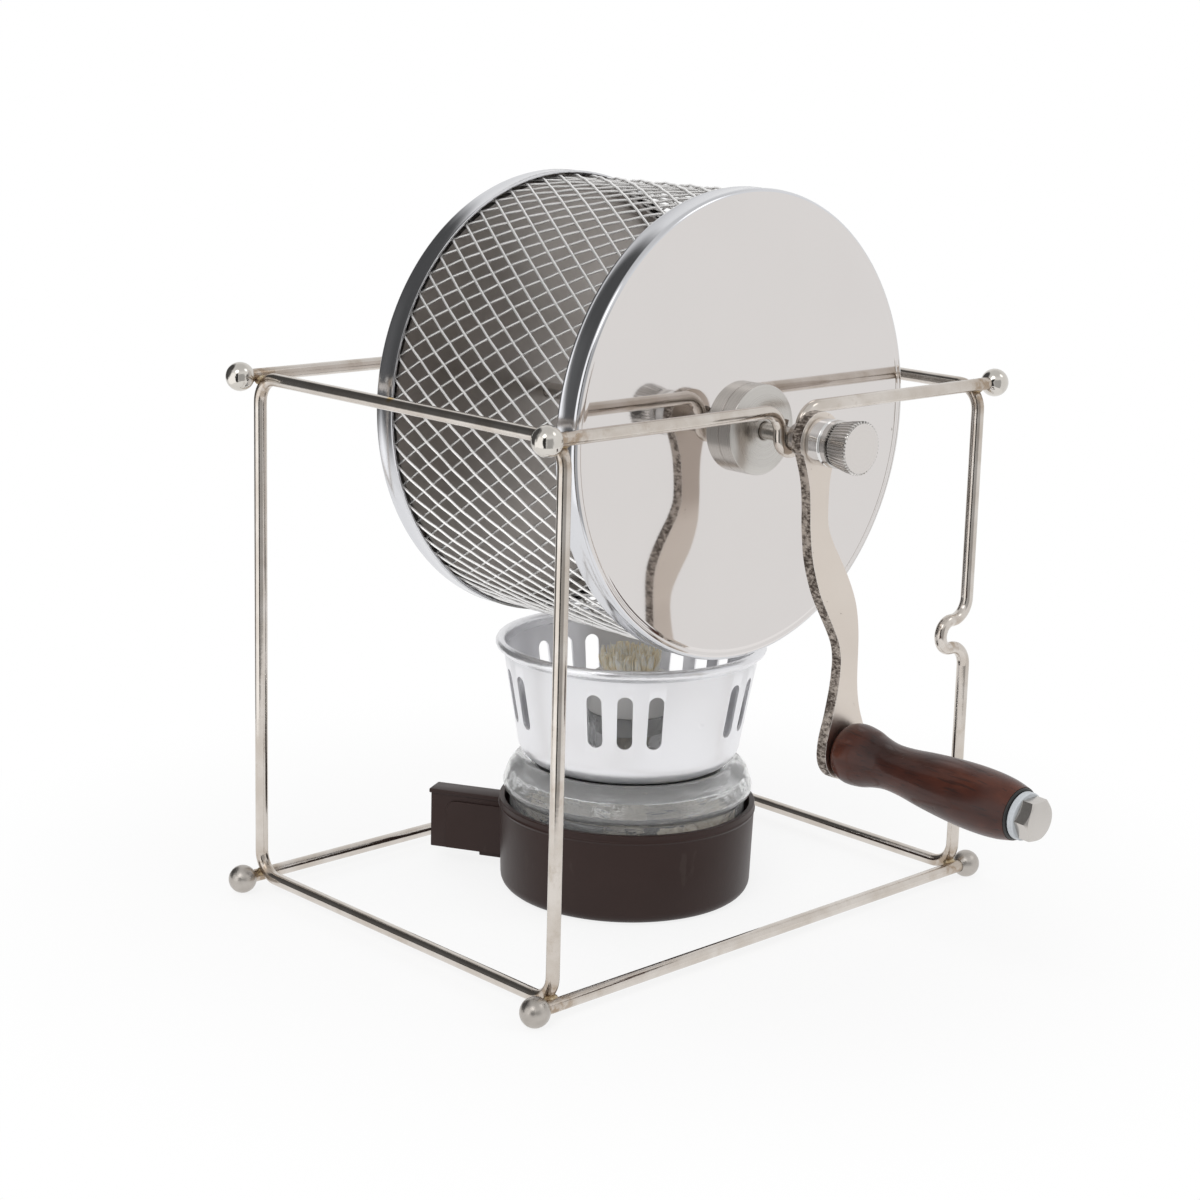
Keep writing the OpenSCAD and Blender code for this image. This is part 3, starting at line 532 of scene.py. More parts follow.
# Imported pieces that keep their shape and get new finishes

packedFinishes = {
    "left_loop": "rod", "right_loop": "rod", "top_rod_front": "rod", "top_rod_rear": "rod",
    "bottom_rod_front": "rod", "bottom_rod_rear": "rod", "corner_balls": "ball", "axle": "axle",
    "mesh_hoops": "hoop", "stop_screw": "small", "crank_collar": "small", "neck_ring": "rubber",
}
for name, finish in packedFinishes.items():
    nodes[name].data.materials.clear()
    nodes[name].data.materials.append(finishes[finish])

# Weld spots where the loops meet the long rods

welds = {"size": 1.9, "loopX": 80, "rodY": 62.7, "lowZ": 4, "topZ": 149, "inward": 1.265,
         "rough": 0.10, "smoothing": 0.6, "stretch": (1.25, 0.8, 0.8)}


def weldSpots():
    s = welds
    bm = bmesh.new()
    shape = random.Random(5)
    for sx in (-1, 1):
        for sy in (-1, 1):
            for z, sz in ((s["lowZ"], 1), (s["topZ"], -1)):
                drop = bmesh.ops.create_icosphere(bm, subdivisions=3, radius=s["size"] * mm)["verts"]
                for v in drop:
                    v.co *= 1 + s["rough"] * shape.uniform(-1, 1)
                bmesh.ops.smooth_vert(bm, verts=drop, factor=s["smoothing"],
                                      use_axis_x=True, use_axis_y=True, use_axis_z=True)
                bmesh.ops.scale(bm, vec=s["stretch"], verts=drop)
                place = (sx * s["loopX"], sy * (s["rodY"] - s["inward"]), z + sz * s["inward"])
                bmesh.ops.translate(bm, vec=Vector(place) * mm, verts=drop)
    return bm


settle("weldSpots", weldSpots(), "frame", [], finishes["weld"], sharp=80)
print("frame done")

# Drum mesh: two crossing families of wires that pass over and under each other

netting = {"wires": 64, "wireD": 0.76, "outerR": 62.2, "innerR": 61.45, "wave": 0.10, "low": -47.1,
           "high": 31.5, "twist": 45.9, "sides": 6, "crossings": 16, "stepsEach": 4}


def drumMesh():
    n = netting
    bm = bmesh.new()
    length = n["high"] - n["low"]
    steps = n["crossings"] * n["stepsEach"]
    pitch = length / n["crossings"]
    for layer, (hand, radius) in enumerate(((1, n["outerR"]), (-1, n["innerR"]))):
        old = set(bm.verts)
        ring = bmesh.ops.create_circle(bm, cap_ends=False, segments=n["sides"],
                                       radius=n["wireD"] / 2 * mm)["verts"]
        lean = math.atan(math.radians(n["twist"]) * radius / length)
        swing(bm, ring, -hand * math.degrees(lean), "X")
        bmesh.ops.translate(bm, vec=(radius * mm, 0, 0), verts=ring)
        # one wire climbs along the drum, and its copies stand round the axle
        bmesh.ops.spin(bm, geom=ring + edgesOf(ring), cent=(0, 0, 0), axis=(0, 0, 1),
                       dvec=(0, 0, length / steps * mm), angle=hand * math.radians(n["twist"]),
                       steps=steps, use_duplicate=False)
        wire = [v for v in bm.verts if v not in old]
        for v in wire:
            out = Vector((v.co.x, v.co.y, 0)).normalized()
            v.co += out * hand * n["wave"] * mm * math.cos(math.pi * v.co.z / (pitch * mm))
        faces = list({f for v in wire for f in v.link_faces})
        for f in faces:
            f.material_index = layer
        bmesh.ops.spin(bm, geom=wire + edgesOf(wire) + faces, cent=(0, 0, 0), axis=(0, 0, 1), dvec=(0, 0, 0),
                       angle=math.tau * (1 - 1 / n["wires"]), steps=n["wires"] - 1, use_duplicate=True)
    bmesh.ops.transform(bm, matrix=onAxle(n["high"] * mm), verts=bm.verts)
    return bm


mesh = meshOf("drumMesh", drumMesh())
# layer 0, the outer family, takes the painted highlight colour; layer 1, the inner family, takes the painted
# shade colour
dress("drumMesh", mesh, "drum", ["drum_mesh"], finishes["wirePaintedHighlight"], finishes["wirePaintedShade"], sharp=70)
print("drum mesh done:", len(mesh.polygons), "faces")

# Covers: disc, shallow groove, rounded edge, rim band and a small bead at its end

cover = {"frontY": -0.048, "rearY": 0.0324, "r": 63.5, "edge": 1.4, "sheet": 0.6, "rim": 7.4, "bore": 2.3,
         "middleR": 12, "flatR": 40, "grooveR": 61.3, "groove": 0.12}


def coverBody(place):
    c = cover
    r, e, s, g, rim = c["r"], c["edge"], c["sheet"], c["grooveR"], c["rim"]
    disc = [(c["bore"], 0), (c["middleR"], 0), (c["flatR"], 0), (g - 1.1, 0), (g - 0.35, 0),
            (g - 0.12, c["groove"]), (g + 0.12, c["groove"]), (g + 0.35, 0), (r - e - 0.15, 0)]
    bend = around(r - e, e, e, range(-90, 1, 15))
    band = [(r - 0.16, e + 1.2), (r - 0.2, rim - 1.0), (r - 0.1, rim - 0.75), (r, rim - 0.45),
            (r - 0.06, rim - 0.12), (r - 0.3, rim), (r - s, rim - 0.1)]
    inner = around(r - e, e, e - s, (-22.5 * i for i in range(5))) + [(c["flatR"], s), (c["bore"], s)]
    return turned(disc + bend + band + inner, place, steps=192, closed=True)


settle("frontCover", coverBody(onAxle(cover["frontY"], toCrank=False)), "front_lid", ["front_cover"],
       finishes["frontCover"], sharp=50)
settle("rearCover", coverBody(onAxle(cover["rearY"])), "drum", ["rear_cover"],
       finishes["rearCover"], sharp=50)

hub = {"r": 12.2, "length": 5.6, "chamfer": (1.2, 3.0), "bore": 2.3, "boreEdge": (0.5, 0.4)}


def hubBody(place):
    r, length, bore = hub["r"], hub["length"], hub["bore"]
    deep, wide = hub["chamfer"]
    out, down = hub["boreEdge"]
    return turned([(bore, 0), (r, 0), (r, length - deep), (r - wide, length), (bore + out, length),
                   (bore, length - down)], place, steps=128, closed=True)


settle("frontHub", hubBody(onAxle(cover["frontY"])), "front_lid", ["front_hub"], finishes["hub"],
       bevel=(0.00018, 2))
settle("rearHub", hubBody(onAxle(cover["rearY"], toCrank=False)), "drum", ["rear_hub"], finishes["hub"],
       bevel=(0.00018, 2))
print("covers and hubs done")

# Crank: arm, spacer ring, thumb nut

arm = {
    "drop": 81.8, "step": 10.5, "lean": 2.5, "thick": 3.2, "back": -70.1, "eye": 7.7, "end": 8.0,
    "cuts": 56, "cutFrom": 0.24, "cutOver": 0.7, "merge": 0.00012,
    # (half the width, how far down), as shares of the drop
    "half": [(0.0785, 0.035), (0.0605, 0.09), (0.0485, 0.14), (0.0436, 0.2), (0.0428, 0.25), (0.0448, 0.295),
             (0.0535, 0.342), (0.065, 0.391), (0.0725, 0.44), (0.0748, 0.489), (0.069, 0.538),
             (0.0577, 0.587), (0.0465, 0.636), (0.0415, 0.685), (0.0422, 0.733), (0.0462, 0.782),
             (0.0545, 0.831), (0.0668, 0.88), (0.083, 0.925), (0.0925, 0.957), (0.0965, 0.985)],
    # (how far down, how far outwards), as shares of the drop and of the step
    "bend": [(-0.2, 0), (0.05, 0), (0.2, 0), (0.28, 0.01), (0.342, 0.124), (0.391, 0.276), (0.44, 0.448),
             (0.489, 0.624), (0.538, 0.8), (0.587, 0.943), (0.636, 1.045), (0.685, 1.075), (0.733, 1.06),
             (0.782, 1.035), (0.831, 1.01), (0.88, 1), (1, 1), (1.2, 1)],
}


def crankArm():
    a, drop, thick = arm, arm["drop"], arm["thick"]
    side = [(x * drop, -z * drop) for x, z in eased(a["half"], 4)]
    low = around(0, -drop, a["end"], (2 - 184 * i / 22 for i in range(23)))
    top = around(0, 0, a["eye"], (198 - 216 * i / 26 for i in range(27)))
    outline = side + low + [(-x, z) for x, z in side[::-1]] + top
    bm = bmesh.new()
    bm.faces.new([bm.verts.new((x * mm, 0, z * mm)) for x, z in outline])
    bmesh.ops.remove_doubles(bm, verts=bm.verts, dist=a["merge"])
    grown = bmesh.ops.extrude_face_region(bm, geom=bm.faces[:], use_keep_orig=True)
    bmesh.ops.translate(bm, vec=(0, -thick * mm, 0), verts=only(bmesh.types.BMVert, grown["geom"]))
    for i in range(a["cuts"]):
        level = -drop * (a["cutFrom"] + a["cutOver"] * i / a["cuts"])
        bmesh.ops.bisect_plane(bm, geom=bm.verts[:] + bm.edges[:] + bm.faces[:],
                               plane_co=(0, 0, level * mm), plane_no=(0, 0, 1))
    bmesh.ops.recalc_face_normals(bm, faces=bm.faces)
    for f in bm.faces:
        f.material_index = 0 if abs(f.normal.y) > 0.9 else 1
    path = eased(a["bend"], 8)

    def stepAt(down):
        for (d, o), (e, q) in zip(path, path[1:]):
            if down <= e:
                return o + (q - o) * (down - d) / (e - d)
        return 1.0

    # the flat arm is bent outwards, and keeps its thickness across the bend
    for v in bm.verts:
        down = -v.co.z / (drop * mm)
        slope = (stepAt(down + 0.01) - stepAt(down - 0.01)) * a["step"] / (0.02 * drop)
        away = math.copysign(thick / 2 * math.sqrt(1 + slope * slope), v.co.y / mm + thick / 2)
        v.co.y = (away - thick / 2 - stepAt(down) * a["step"]) * mm
    swing(bm, bm.verts, -a["lean"], "Y")
    bmesh.ops.translate(bm, vec=(0, a["back"] * mm, axleHeight), verts=bm.verts)
    return bm


# the bevel faces take finish 2, the smoother steel with the painted highlight colour
settle("crankArm", crankArm(), "drum", ["crank_arm"], finishes["armFace"], finishes["armEdge"],
       finishes["armRimPaintedHighlight"], bevel=(0.00045, 3), bevelFinish=2, sharp=40)

spacer = {"y": -0.0733, "r": 6.3, "length": 4.9, "edge": 0.7, "backEdge": (0.25, 0.3), "bore": 2.3}


def spacerRing():
    r, length, edge = spacer["r"], spacer["length"], spacer["edge"]
    inward, up = spacer["backEdge"]
    return turned([(spacer["bore"], 0), (r - inward, 0), (r, up), (r, length - edge), (r - edge, length),
                   (spacer["bore"], length)], onAxle(spacer["y"]), closed=True)


settle("spacerRing", spacerRing(), "drum", ["spacer_ring"], finishes["chrome"], bevel=(0.0002, 3), sharp=25)

nut = {"y": -0.0782, "collarR": 6.3, "collarL": 1.7, "backR": 5.9, "frontR": 7.1, "length": 9.1,
       "neckL": 0.6, "teeth": 44, "depth": 0.075, "dome": 0.02, "faceShare": 0.965}


def thumbNut():
    n = nut
    start = n["collarL"] + n["neckL"]
    height = n["length"] - start
    bm = turned([(0, 0), (n["collarR"] - 0.2, 0), (n["collarR"], 0.25), (n["collarR"], n["collarL"]),
                 (n["backR"] - 0.9, n["collarL"] + 0.35), (n["backR"] - 0.7, start)], steps=88)
    knob = bmesh.ops.create_circle(bm, cap_ends=False, segments=n["teeth"] * 4,
                                   radius=n["backR"] * mm)["verts"]
    for i, v in enumerate(knob):
        if i % 4 in (2, 3):
            v.co *= 1 - n["depth"]
    bmesh.ops.translate(bm, vec=(0, 0, start * mm), verts=knob)
    edges = edgesOf(knob)
    # each band of the knob has a share of its height and grows or shrinks as it rises
    bands = ((0.06, 1.03), (0.5, n["frontR"] / n["backR"] * 0.93), (0.38, 1.0 / 0.955), (0.04, 0.975))
    for share, grow in bands:
        grown = bmesh.ops.extrude_edge_only(bm, edges=edges)
        knob = only(bmesh.types.BMVert, grown["geom"])
        edges = only(bmesh.types.BMEdge, grown["geom"])
        bmesh.ops.translate(bm, vec=(0, 0, share * height * mm), verts=knob)
        bmesh.ops.scale(bm, vec=(grow, grow, 1), verts=knob)
    even = sum(v.co.xy.length for v in knob) / len(knob)
    grown = bmesh.ops.extrude_edge_only(bm, edges=edges)
    for v in only(bmesh.types.BMVert, grown["geom"]):
        v.co.xy = v.co.xy.normalized() * even * n["faceShare"]
        v.co.z += n["dome"] * height * mm
    cap = bmesh.ops.contextual_create(bm, geom=only(bmesh.types.BMEdge, grown["geom"]))
    for f in cap["faces"]:
        f.material_index = 1
    bmesh.ops.transform(bm, matrix=onAxle(n["y"]), verts=bm.verts)
    return bm


settle("thumbNut", thumbNut(), "crank_nut", ["thumb_nut"], finishes["knurl"], finishes["nutFront"], sharp=28)

# Grip: turned wood, the ring in its outer end, a washer and the bolt

grip = {
    "gap": 0.4, "length": 57.0, "d": 16.7, "bore": 3.2, "sink": 0.969,
    # (radius, place along the grip), as shares of its diameter and of its length
    "shares": [(0.365, 0.0), (0.435, 0.012), (0.48, 0.04), (0.494, 0.08), (0.468, 0.14), (0.412, 0.2),
               (0.372, 0.275), (0.385, 0.37), (0.437, 0.49), (0.476, 0.61), (0.5, 0.73), (0.498, 0.84),
               (0.474, 0.92), (0.44, 0.97)],
    "endShares": [(0.414, 1.0), (0.407, 1.0), (0.407, 0.969)],
}
gripRing = {"bore": 3.1, "r": 6.77, "length": 2.4, "edge": (0.32, 0.3), "inside": 1.8}
gripWasher = {"bore": 3.05, "r": 6.2, "thick": 1.9, "gap": 0.1}


def woodGrip():
    d, length = grip["d"], grip["length"]
    body = eased([(r * d, along * length) for r, along in grip["shares"]], 5)
    end = [(r * d, along * length) for r, along in grip["endShares"]]
    return turned([(grip["bore"], 0.0)] + body + end + [(grip["bore"], length * grip["sink"])],
                  onGrip(grip["gap"] * mm), closed=True)


def gripEndRing():
    bore, r, length = gripRing["bore"], gripRing["r"], gripRing["length"]
    inward, down = gripRing["edge"]
    place = grip["gap"] + grip["length"] - gripRing["inside"]
    return turned([(bore, 0), (r, 0), (r, length - down), (r - inward, length), (bore, length)],
                  onGrip(place * mm), closed=True)


def washerDisc():
    bore, r, thick = gripWasher["bore"], gripWasher["r"], gripWasher["thick"]
    place = grip["gap"] + grip["length"] - gripRing["inside"] + gripRing["length"] + gripWasher["gap"]
    return turned([(bore, 0), (r, 0), (r, thick), (bore, thick)], onGrip(place * mm), closed=True)


settle("woodGrip", woodGrip(), "crank_grip", ["grip"], finishes["wood"], bevel=(0.0003, 2), sharp=45)
settle("gripRing", gripEndRing(), "crank_grip", ["grip_ring"], finishes["black"], bevel=(0.00025, 3))
settle("gripWasher", washerDisc(), "drum", ["grip_washer"], finishes["washer"], bevel=(0.0004, 3))

bolt = {"flats": 10.0, "head": 3.9, "chamfer": 0.55, "shank": 3.0, "tail": 4.4, "tailL": 1.0, "start": -4.6,
        "headAt": 60.0}


def gripBolt():
    b = bolt
    corner, flat = b["flats"] / math.sqrt(3), b["flats"] / 2
    start, headAt = b["start"], b["headAt"]
    top = headAt + b["head"] - 0.1
    bm = turned([(0, headAt), (corner, headAt), (corner, top - (corner - flat) * 0.55 - b["chamfer"] * 0.5),
                 (flat - 0.1, top - 0.02), (flat - 0.3, top), (0, top)])
    # six cuts make the round head a hexagon
    for side in range(6):
        angle = math.radians(60 * side + 30)
        out = Vector((math.cos(angle), math.sin(angle), 0))
        cut = bmesh.ops.bisect_plane(bm, geom=bm.verts[:] + bm.edges[:] + bm.faces[:],
                                     plane_co=out * flat * mm, plane_no=out, clear_outer=True)
        bmesh.ops.holes_fill(bm, edges=only(bmesh.types.BMEdge, cut["geom_cut"]), sides=0)
    shank = turned([(0, start), (b["tail"] - 0.5, start), (b["tail"], start + 0.4),
                    (b["tail"], start + b["tailL"]), (b["shank"], start + b["tailL"]), (b["shank"], headAt),
                    (0, headAt)], steps=48)
    other = meshOf("boltShank", shank)
    bm.from_mesh(other)
    bpy.data.meshes.remove(other)
    bmesh.ops.transform(bm, matrix=onGrip(0), verts=bm.verts)
    return bm


settle("gripBolt", gripBolt(), "drum", ["grip_bolt"], finishes["bolt"], bevel=(0.00015, 2), sharp=25)
print("crank done")

# Lamp base with its handle

base = {"footR": 36.5, "rimR": 37.2, "height": 26.5, "wall": 1.6, "floor": 2.0, "edge": 3.5, "hollow": 0.35,
        "beadZ": 24.4, "bead": 0.28}


def lampBase():
    b = base
    e, foot, wall, hollow, beadZ = b["edge"], b["footR"], b["wall"], b["hollow"], b["beadZ"]

    def wallAt(z, out=0):
        return foot + (z - e) * (b["rimR"] - foot) / (b["height"] - e) + out, z

    under = [(0, hollow), (foot - 6, hollow), (foot - 5.4, 0), (foot - e - 0.3, 0)]
    corner = around(foot - e, e, e, range(-90, 1, 15))
    beadOut = wallAt(beadZ, b["bead"])[0]
    bead = [wallAt(beadZ - 0.5), (beadOut, beadZ - 0.12), (beadOut, beadZ + 0.12), wallAt(beadZ + 0.5)]
    inner = [(b["rimR"] - wall, b["height"]), (foot - wall, e + 0.5), (foot - wall - 1.6, b["floor"]),
             (0, b["floor"])]
    return turned(under + corner + bead + [(b["rimR"], b["height"])] + inner, steps=144)


settle("lampBase", lampBase(), "lamp", ["lamp_base"], finishes["plastic"], bevel=(0.0003, 3), sharp=35,
       at=lampAt)

handle = {"turn": 118.0, "root": 35.6, "reach": 60.3, "thick": 6.4, "low": 4.0, "top": 22.0, "edge": 0.35,
          "lip": 1.4, "lipOut": 0.5, "lipEdge": 0.45, "stepShare": 0.37, "step": 1.0, "panel": 0.8,
          "panelEnd": 5.2, "arch": 3.0, "archAbove": 0.015, "panelEdge": 0.25}


def lampHandle():
    h = handle
    root, reach, low, top, half = h["root"], h["reach"], h["low"], h["top"], h["thick"] / 2
    lip, lipOut = top - h["lip"], h["lipOut"]
    stepEnd = root + (reach - root) * h["stepShare"]
    panelEnd = reach - h["panelEnd"]
    bm = bmesh.new()

    def slab(start, end, edge):
        bevelled(bm, edgesOf(block(bm, start, end)), edge, 2)

    slab((root, -half, low), (reach, half, lip + 0.5), h["edge"])
    slab((root, -half - lipOut, lip), (reach + lipOut, half + lipOut, top), h["lipEdge"])
    slab((root, -half + 0.05, low - h["step"]), (stepEnd, half - 0.05, low + 1), h["edge"])
    # the raised panel on both sides, with its arched outer corner
    for side in (-1, 1):
        inner, outer = sorted((side * (half - 0.3), side * (half + h["panel"])))
        made = block(bm, (root, inner, low + 0.4), (panelEnd, outer, lip - 1.6))
        far = [e for e in edgesOf(made)
               if all(v.co.x > (panelEnd - 0.5) * mm and v.co.z > h["archAbove"] for v in e.verts)]
        arch = bevelled(bm, far, h["arch"], 8)
        rim = [e for e in {e for f in arch["faces"] for e in f.edges} if e.calc_face_angle(0) > 1.0]
        bevelled(bm, rim, h["panelEdge"], 2)
    swing(bm, bm.verts, h["turn"], "Z")
    return bm


settle("lampHandle", lampHandle(), "lamp", [], finishes["plastic"], sharp=35, at=lampAt)
print("lamp base done")

# Glass bottle: a round foot, a lip band, a raised shoulder with a well inside it, and the neck

bottle = {"r": 34.2, "z": 2.3, "foot": 3.6, "glass": 2.1, "lipLow": 28.2, "lip": 30.0, "lipHigh": 32.6,
          "lipTop": 36.2, "lipR": 36.1, "stepR": 34.5, "shoulderR": 31.4, "shoulder": 36.6, "rim": 39.0,
          "rimW": 1.6, "wellR": 27.0, "rootR": 13.5, "neckR": 12.0, "neckLow": 40.4, "neckTop": 52.6}


def glassBottle():
    b = bottle
    t, e, r, z = b["glass"], b["foot"], b["r"], b["z"]
    lipR, lip, lipHigh, lipTop, stepR = b["lipR"], b["lip"], b["lipHigh"], b["lipTop"], b["stepR"]
    shoulder, shoulderR, wellR, rootR = b["shoulder"], b["shoulderR"], b["wellR"], b["rootR"]
    rimIn = shoulderR - b["rimW"]
    outer = [(0, z), (r - e, z), (r - e * 0.3, z + e * 0.3), (r, z + e), (r, 15), (r, b["lipLow"]),
             (lipR - 0.25, lip - 0.3), (lipR, lip + 0.6), (lipR, lipHigh - 0.6), (lipR - 0.4, lipHigh + 0.3),
             (stepR + 0.3, lipTop - 0.6), (stepR - 0.3, lipTop + 0.25), (stepR - 1.4, lipTop + 1.5),
             (shoulderR + 0.5, b["rim"] - 0.35), (shoulderR - 0.3, b["rim"]), (rimIn + 0.3, b["rim"] - 0.05),
             (rimIn - 0.6, b["rim"] - 0.5), (wellR + 0.5, shoulder + 0.3), (wellR - 0.2, shoulder),
             (rootR + 0.4, shoulder), (rootR - 0.5, shoulder + 0.6), (b["neckR"], b["neckLow"]),
             (b["neckR"], b["neckTop"])]
    inner = [(b["neckR"] - t, b["neckTop"]), (b["neckR"] - t, b["neckLow"] - t), (rootR - t, shoulder - t),
             (shoulderR - t - 1, shoulder - t), (stepR - t - 0.6, lipTop - t - 0.2),
             (lipR - t - 0.4, lipHigh - t / 2), (lipR - t, lip + 0.4), (r - t, b["lipLow"] + 0.2),
             (r - t, 15), (r - t, z + e), (r - e, z + t), (0, z + t)]
    return turned(outer + inner, steps=144)


settle("fuelBottle", glassBottle(), "bottle", ["fuel_bottle"], finishes["glass"], bevel=(0.0003, 2), sharp=40,
       at=lampAt)


def strands(name, lines, thick, body, stands, material):
    # each point of a line is (x, y, z) or (x, y, z, share of the thickness)
    curve = bpy.data.curves.new(name, "CURVE")
    curve.dimensions = "3D"
    curve.bevel_depth, curve.bevel_resolution = thick, 1
    curve.use_fill_caps = True
    for points in lines:
        spline = curve.splines.new("POLY")
        spline.points.add(len(points) - 1)
        for p, co in zip(spline.points, points):
            p.co = (*co[:3], 1)
            p.radius = co[3] if len(co) > 3 else 1.0
    shape = bpy.data.objects.new(name + "Line", curve)
    scene.collection.objects.link(shape)
    mesh = bpy.data.meshes.new_from_object(shape.evaluated_get(bpy.context.evaluated_depsgraph_get()))
    bpy.data.objects.remove(shape)
    mesh.name = name
    mesh.materials.clear()
    return dress(name, mesh, body, stands, material, sharp=80, at=lampAt)


# Wick rope: three strands coiled in the bottle, and three that rise through the holder

rope = {"coilR": 26.6, "coilZ": 21.0, "coilD": 9.4, "arc": 236.0, "start": -110.0, "coilSteps": 200,
        "wickR": 6.6, "low": 16.5, "top": 63.0, "wickSteps": 60, "strand": 2.1, "lay": 12.0,
        "wickLay": 0.16, "wickStrand": 3.4, "wickShare": 1.55}


def wickRope():
    k = rope
    lines = []
    coilOff, wickOff = k["coilD"] / 2 - k["strand"], k["wickR"] - k["wickStrand"]
    for s in range(3):
        coil = []
        for i in range(k["coilSteps"] + 1):
            a = math.radians(k["start"] + k["arc"] * i / k["coilSteps"])
            twist = k["lay"] * a + s * math.tau / 3
            r = k["coilR"] + coilOff * math.cos(twist)
            z = k["coilZ"] + coilOff * math.sin(twist)
            coil.append((r * math.cos(a) * mm, r * math.sin(a) * mm, z * mm))
        lines.append(coil)
        post = []
        for i in range(k["wickSteps"] + 1):
            z = k["low"] + (k["top"] - k["low"]) * i / k["wickSteps"]
            twist = z * k["wickLay"] + s * math.tau / 3
            post.append((wickOff * math.cos(twist) * mm, wickOff * math.sin(twist) * mm, z * mm,
                         k["wickShare"]))
        lines.append(post)
    return lines


strands("wickRope", wickRope(), rope["strand"] * mm, "wick_rope", ["wick"], finishes["rope"])

# Wick tuft: ribbons of frayed cotton with finer hairs among them

tuft = {"ribbons": 70, "hairs": 120, "z": 62.6, "top": 72.0, "rootR": 6.5, "midR": 8.3, "topR": 9.2,
        "reach": 9.25, "ribbon": 0.00108, "hair": 0.26, "turn": 2.39996}


def wickTuft():
    t = tuft
    lines = []
    shape = random.Random(11)
    for i in range(t["ribbons"] + t["hairs"]):
        fine = i >= t["ribbons"]
        share = math.sqrt(shape.uniform(0.0, 1.0)) if fine else math.sqrt((i + 0.5) / t["ribbons"])
        a = i * t["turn"] + shape.uniform(-0.15, 0.15)
        lean = shape.uniform(-0.22, 0.22)
        top = t["top"] - shape.uniform(0, 2.8) - 1.2 * share * share + (0.4 if fine else 0)
        spread = shape.uniform(0.90, 1.08)
        curl = shape.uniform(-0.5, 0.5)
        line = []
        for k in range(9):
            u = k / 8
            r = share * spread * (t["rootR"] * (1 - u) ** 2 + 2 * t["midR"] * u * (1 - u) + t["topR"] * u * u)
            r = min(r + curl * math.sin(math.pi * u) * share, t["reach"])
            b = a + lean * u + 0.04 * math.sin(6 * u + i)
            width = (t["hair"] if fine else shape.uniform(0.8, 1.15)) * (1 - 0.55 * max(0, u - 0.6) / 0.4)
            z = t["z"] + (min(top, t["top"]) - t["z"]) * u
            line.append((r * math.cos(b) * mm, r * math.sin(b) * mm, z * mm, width))
        lines.append(line)
    return lines


strands("wickTuft", wickTuft(), tuft["ribbon"], "wick_rope", [], finishes["tuft"])

holder = {"r": 12.2, "top": 63.4, "height": 10.7, "spigotR": 9.75, "spigot": 6.0, "bore": 7.3,
          "innerEdge": (1.0, 0.8), "outerEdge": (1.4, 1.3)}


def wickHolder():
    r, top, bore, spigotR = holder["r"], holder["top"], holder["bore"], holder["spigotR"]
    low = top - holder["height"]
    bottom = low - holder["spigot"]
    out, down = holder["innerEdge"]
    inward, fall = holder["outerEdge"]
    return turned([(bore, top - down), (bore + out, top), (r - inward, top), (r, top - fall), (r, low),
                   (spigotR, low), (spigotR, bottom), (bore, bottom)], closed=True)


settle("wickHolder", wickHolder(), "bottle", ["wick_holder"], finishes["clay"], bevel=(0.0005, 3), sharp=25,
       at=lampAt)
print("bottle, holder and wick done")

# Wind guard: a pressed cup with a rolled rim and slots in groups of three

guard = {"z": 38.2, "holeR": 14.0, "floorR": 32.3, "corner": 7.0, "wallR": 36.7, "flareZ": 32.0,
         "rollR": 37.6, "rollZ": 34.4, "roll": 1.4, "sheet": 0.7, "slotLow": 12.1, "slotW": 4.3,
         "slotL": 15.8, "pitch": 14.1, "first": -136.4, "groups": 5, "row": 3, "cutFrom": 30, "cutTo": 42}


def guardShell():
    g = guard
    c, t, wallR = g["corner"], g["sheet"], g["wallR"]

    def corner(radius):
        return around(g["floorR"] - c, c, radius, (11.25 * i - 90 for i in range(9)))

    roll = around(g["rollR"], g["rollZ"], g["roll"], range(-62, 189, 25))
    section = ([(g["holeR"], 0)] + corner(c) + [(wallR, g["flareZ"])] + roll
               + [(wallR - t, g["flareZ"])] + corner(c - t)[::-1] + [(g["holeR"], t)])
    return turned([(r, h + g["z"]) for r, h in section], steps=180, closed=True)


def guardSlots():
    g = guard
    half, low, high = g["slotW"] / 2, g["slotLow"], g["slotLow"] + g["slotL"]
    bm = bmesh.new()
    for group in range(g["groups"]):
        for place in range(g["row"]):
            made = block(bm, (g["cutFrom"], -half, low), (g["cutTo"], half, high))
            ends = [e for e in edgesOf(made) if abs(e.verts[0].co.x - e.verts[1].co.x) > 0.005]
            out = bevelled(bm, ends, half * 0.999, 7)
            cut = list({v for v in made if v.is_valid} | set(out["verts"]))
            bmesh.ops.translate(bm, vec=(0, 0, g["z"] * mm), verts=cut)
            swing(bm, cut, g["first"] + 360 * group / g["groups"] + (place - 1) * g["pitch"], "Z")
    return bm


def windGuard():
    shell = bpy.data.objects.new("guardShell", meshOf("guardShell", guardShell()))
    cutter = bpy.data.objects.new("guardSlots", meshOf("guardSlots", guardSlots()))
    for shape in (shell, cutter):
        scene.collection.objects.link(shape)
    cut = shell.modifiers.new("slots", "BOOLEAN")
    cut.object, cut.operation, cut.solver = cutter, "DIFFERENCE", "EXACT"
    mesh = bpy.data.meshes.new_from_object(shell.evaluated_get(bpy.context.evaluated_depsgraph_get()))
    for shape in (shell, cutter):
        bpy.data.objects.remove(shape)
    mesh.name = "windGuard"
    return mesh


dress("windGuard", windGuard(), "guard", ["wind_guard"], finishes["guard"], bevel=(0.00022, 2), sharp=50,
      at=lampAt)
print("wind guard done")

# Floor, lamps and the white surround

studio = {"floor": 0.26, "floorColour": ((0.90, 0.90, 0.90), (0.92, 0.92, 0.92)), "near": 0.09, "far": 0.22,
          "glow": 0.82, "world": 0.60, "aim": (0, 0, 0.1)}


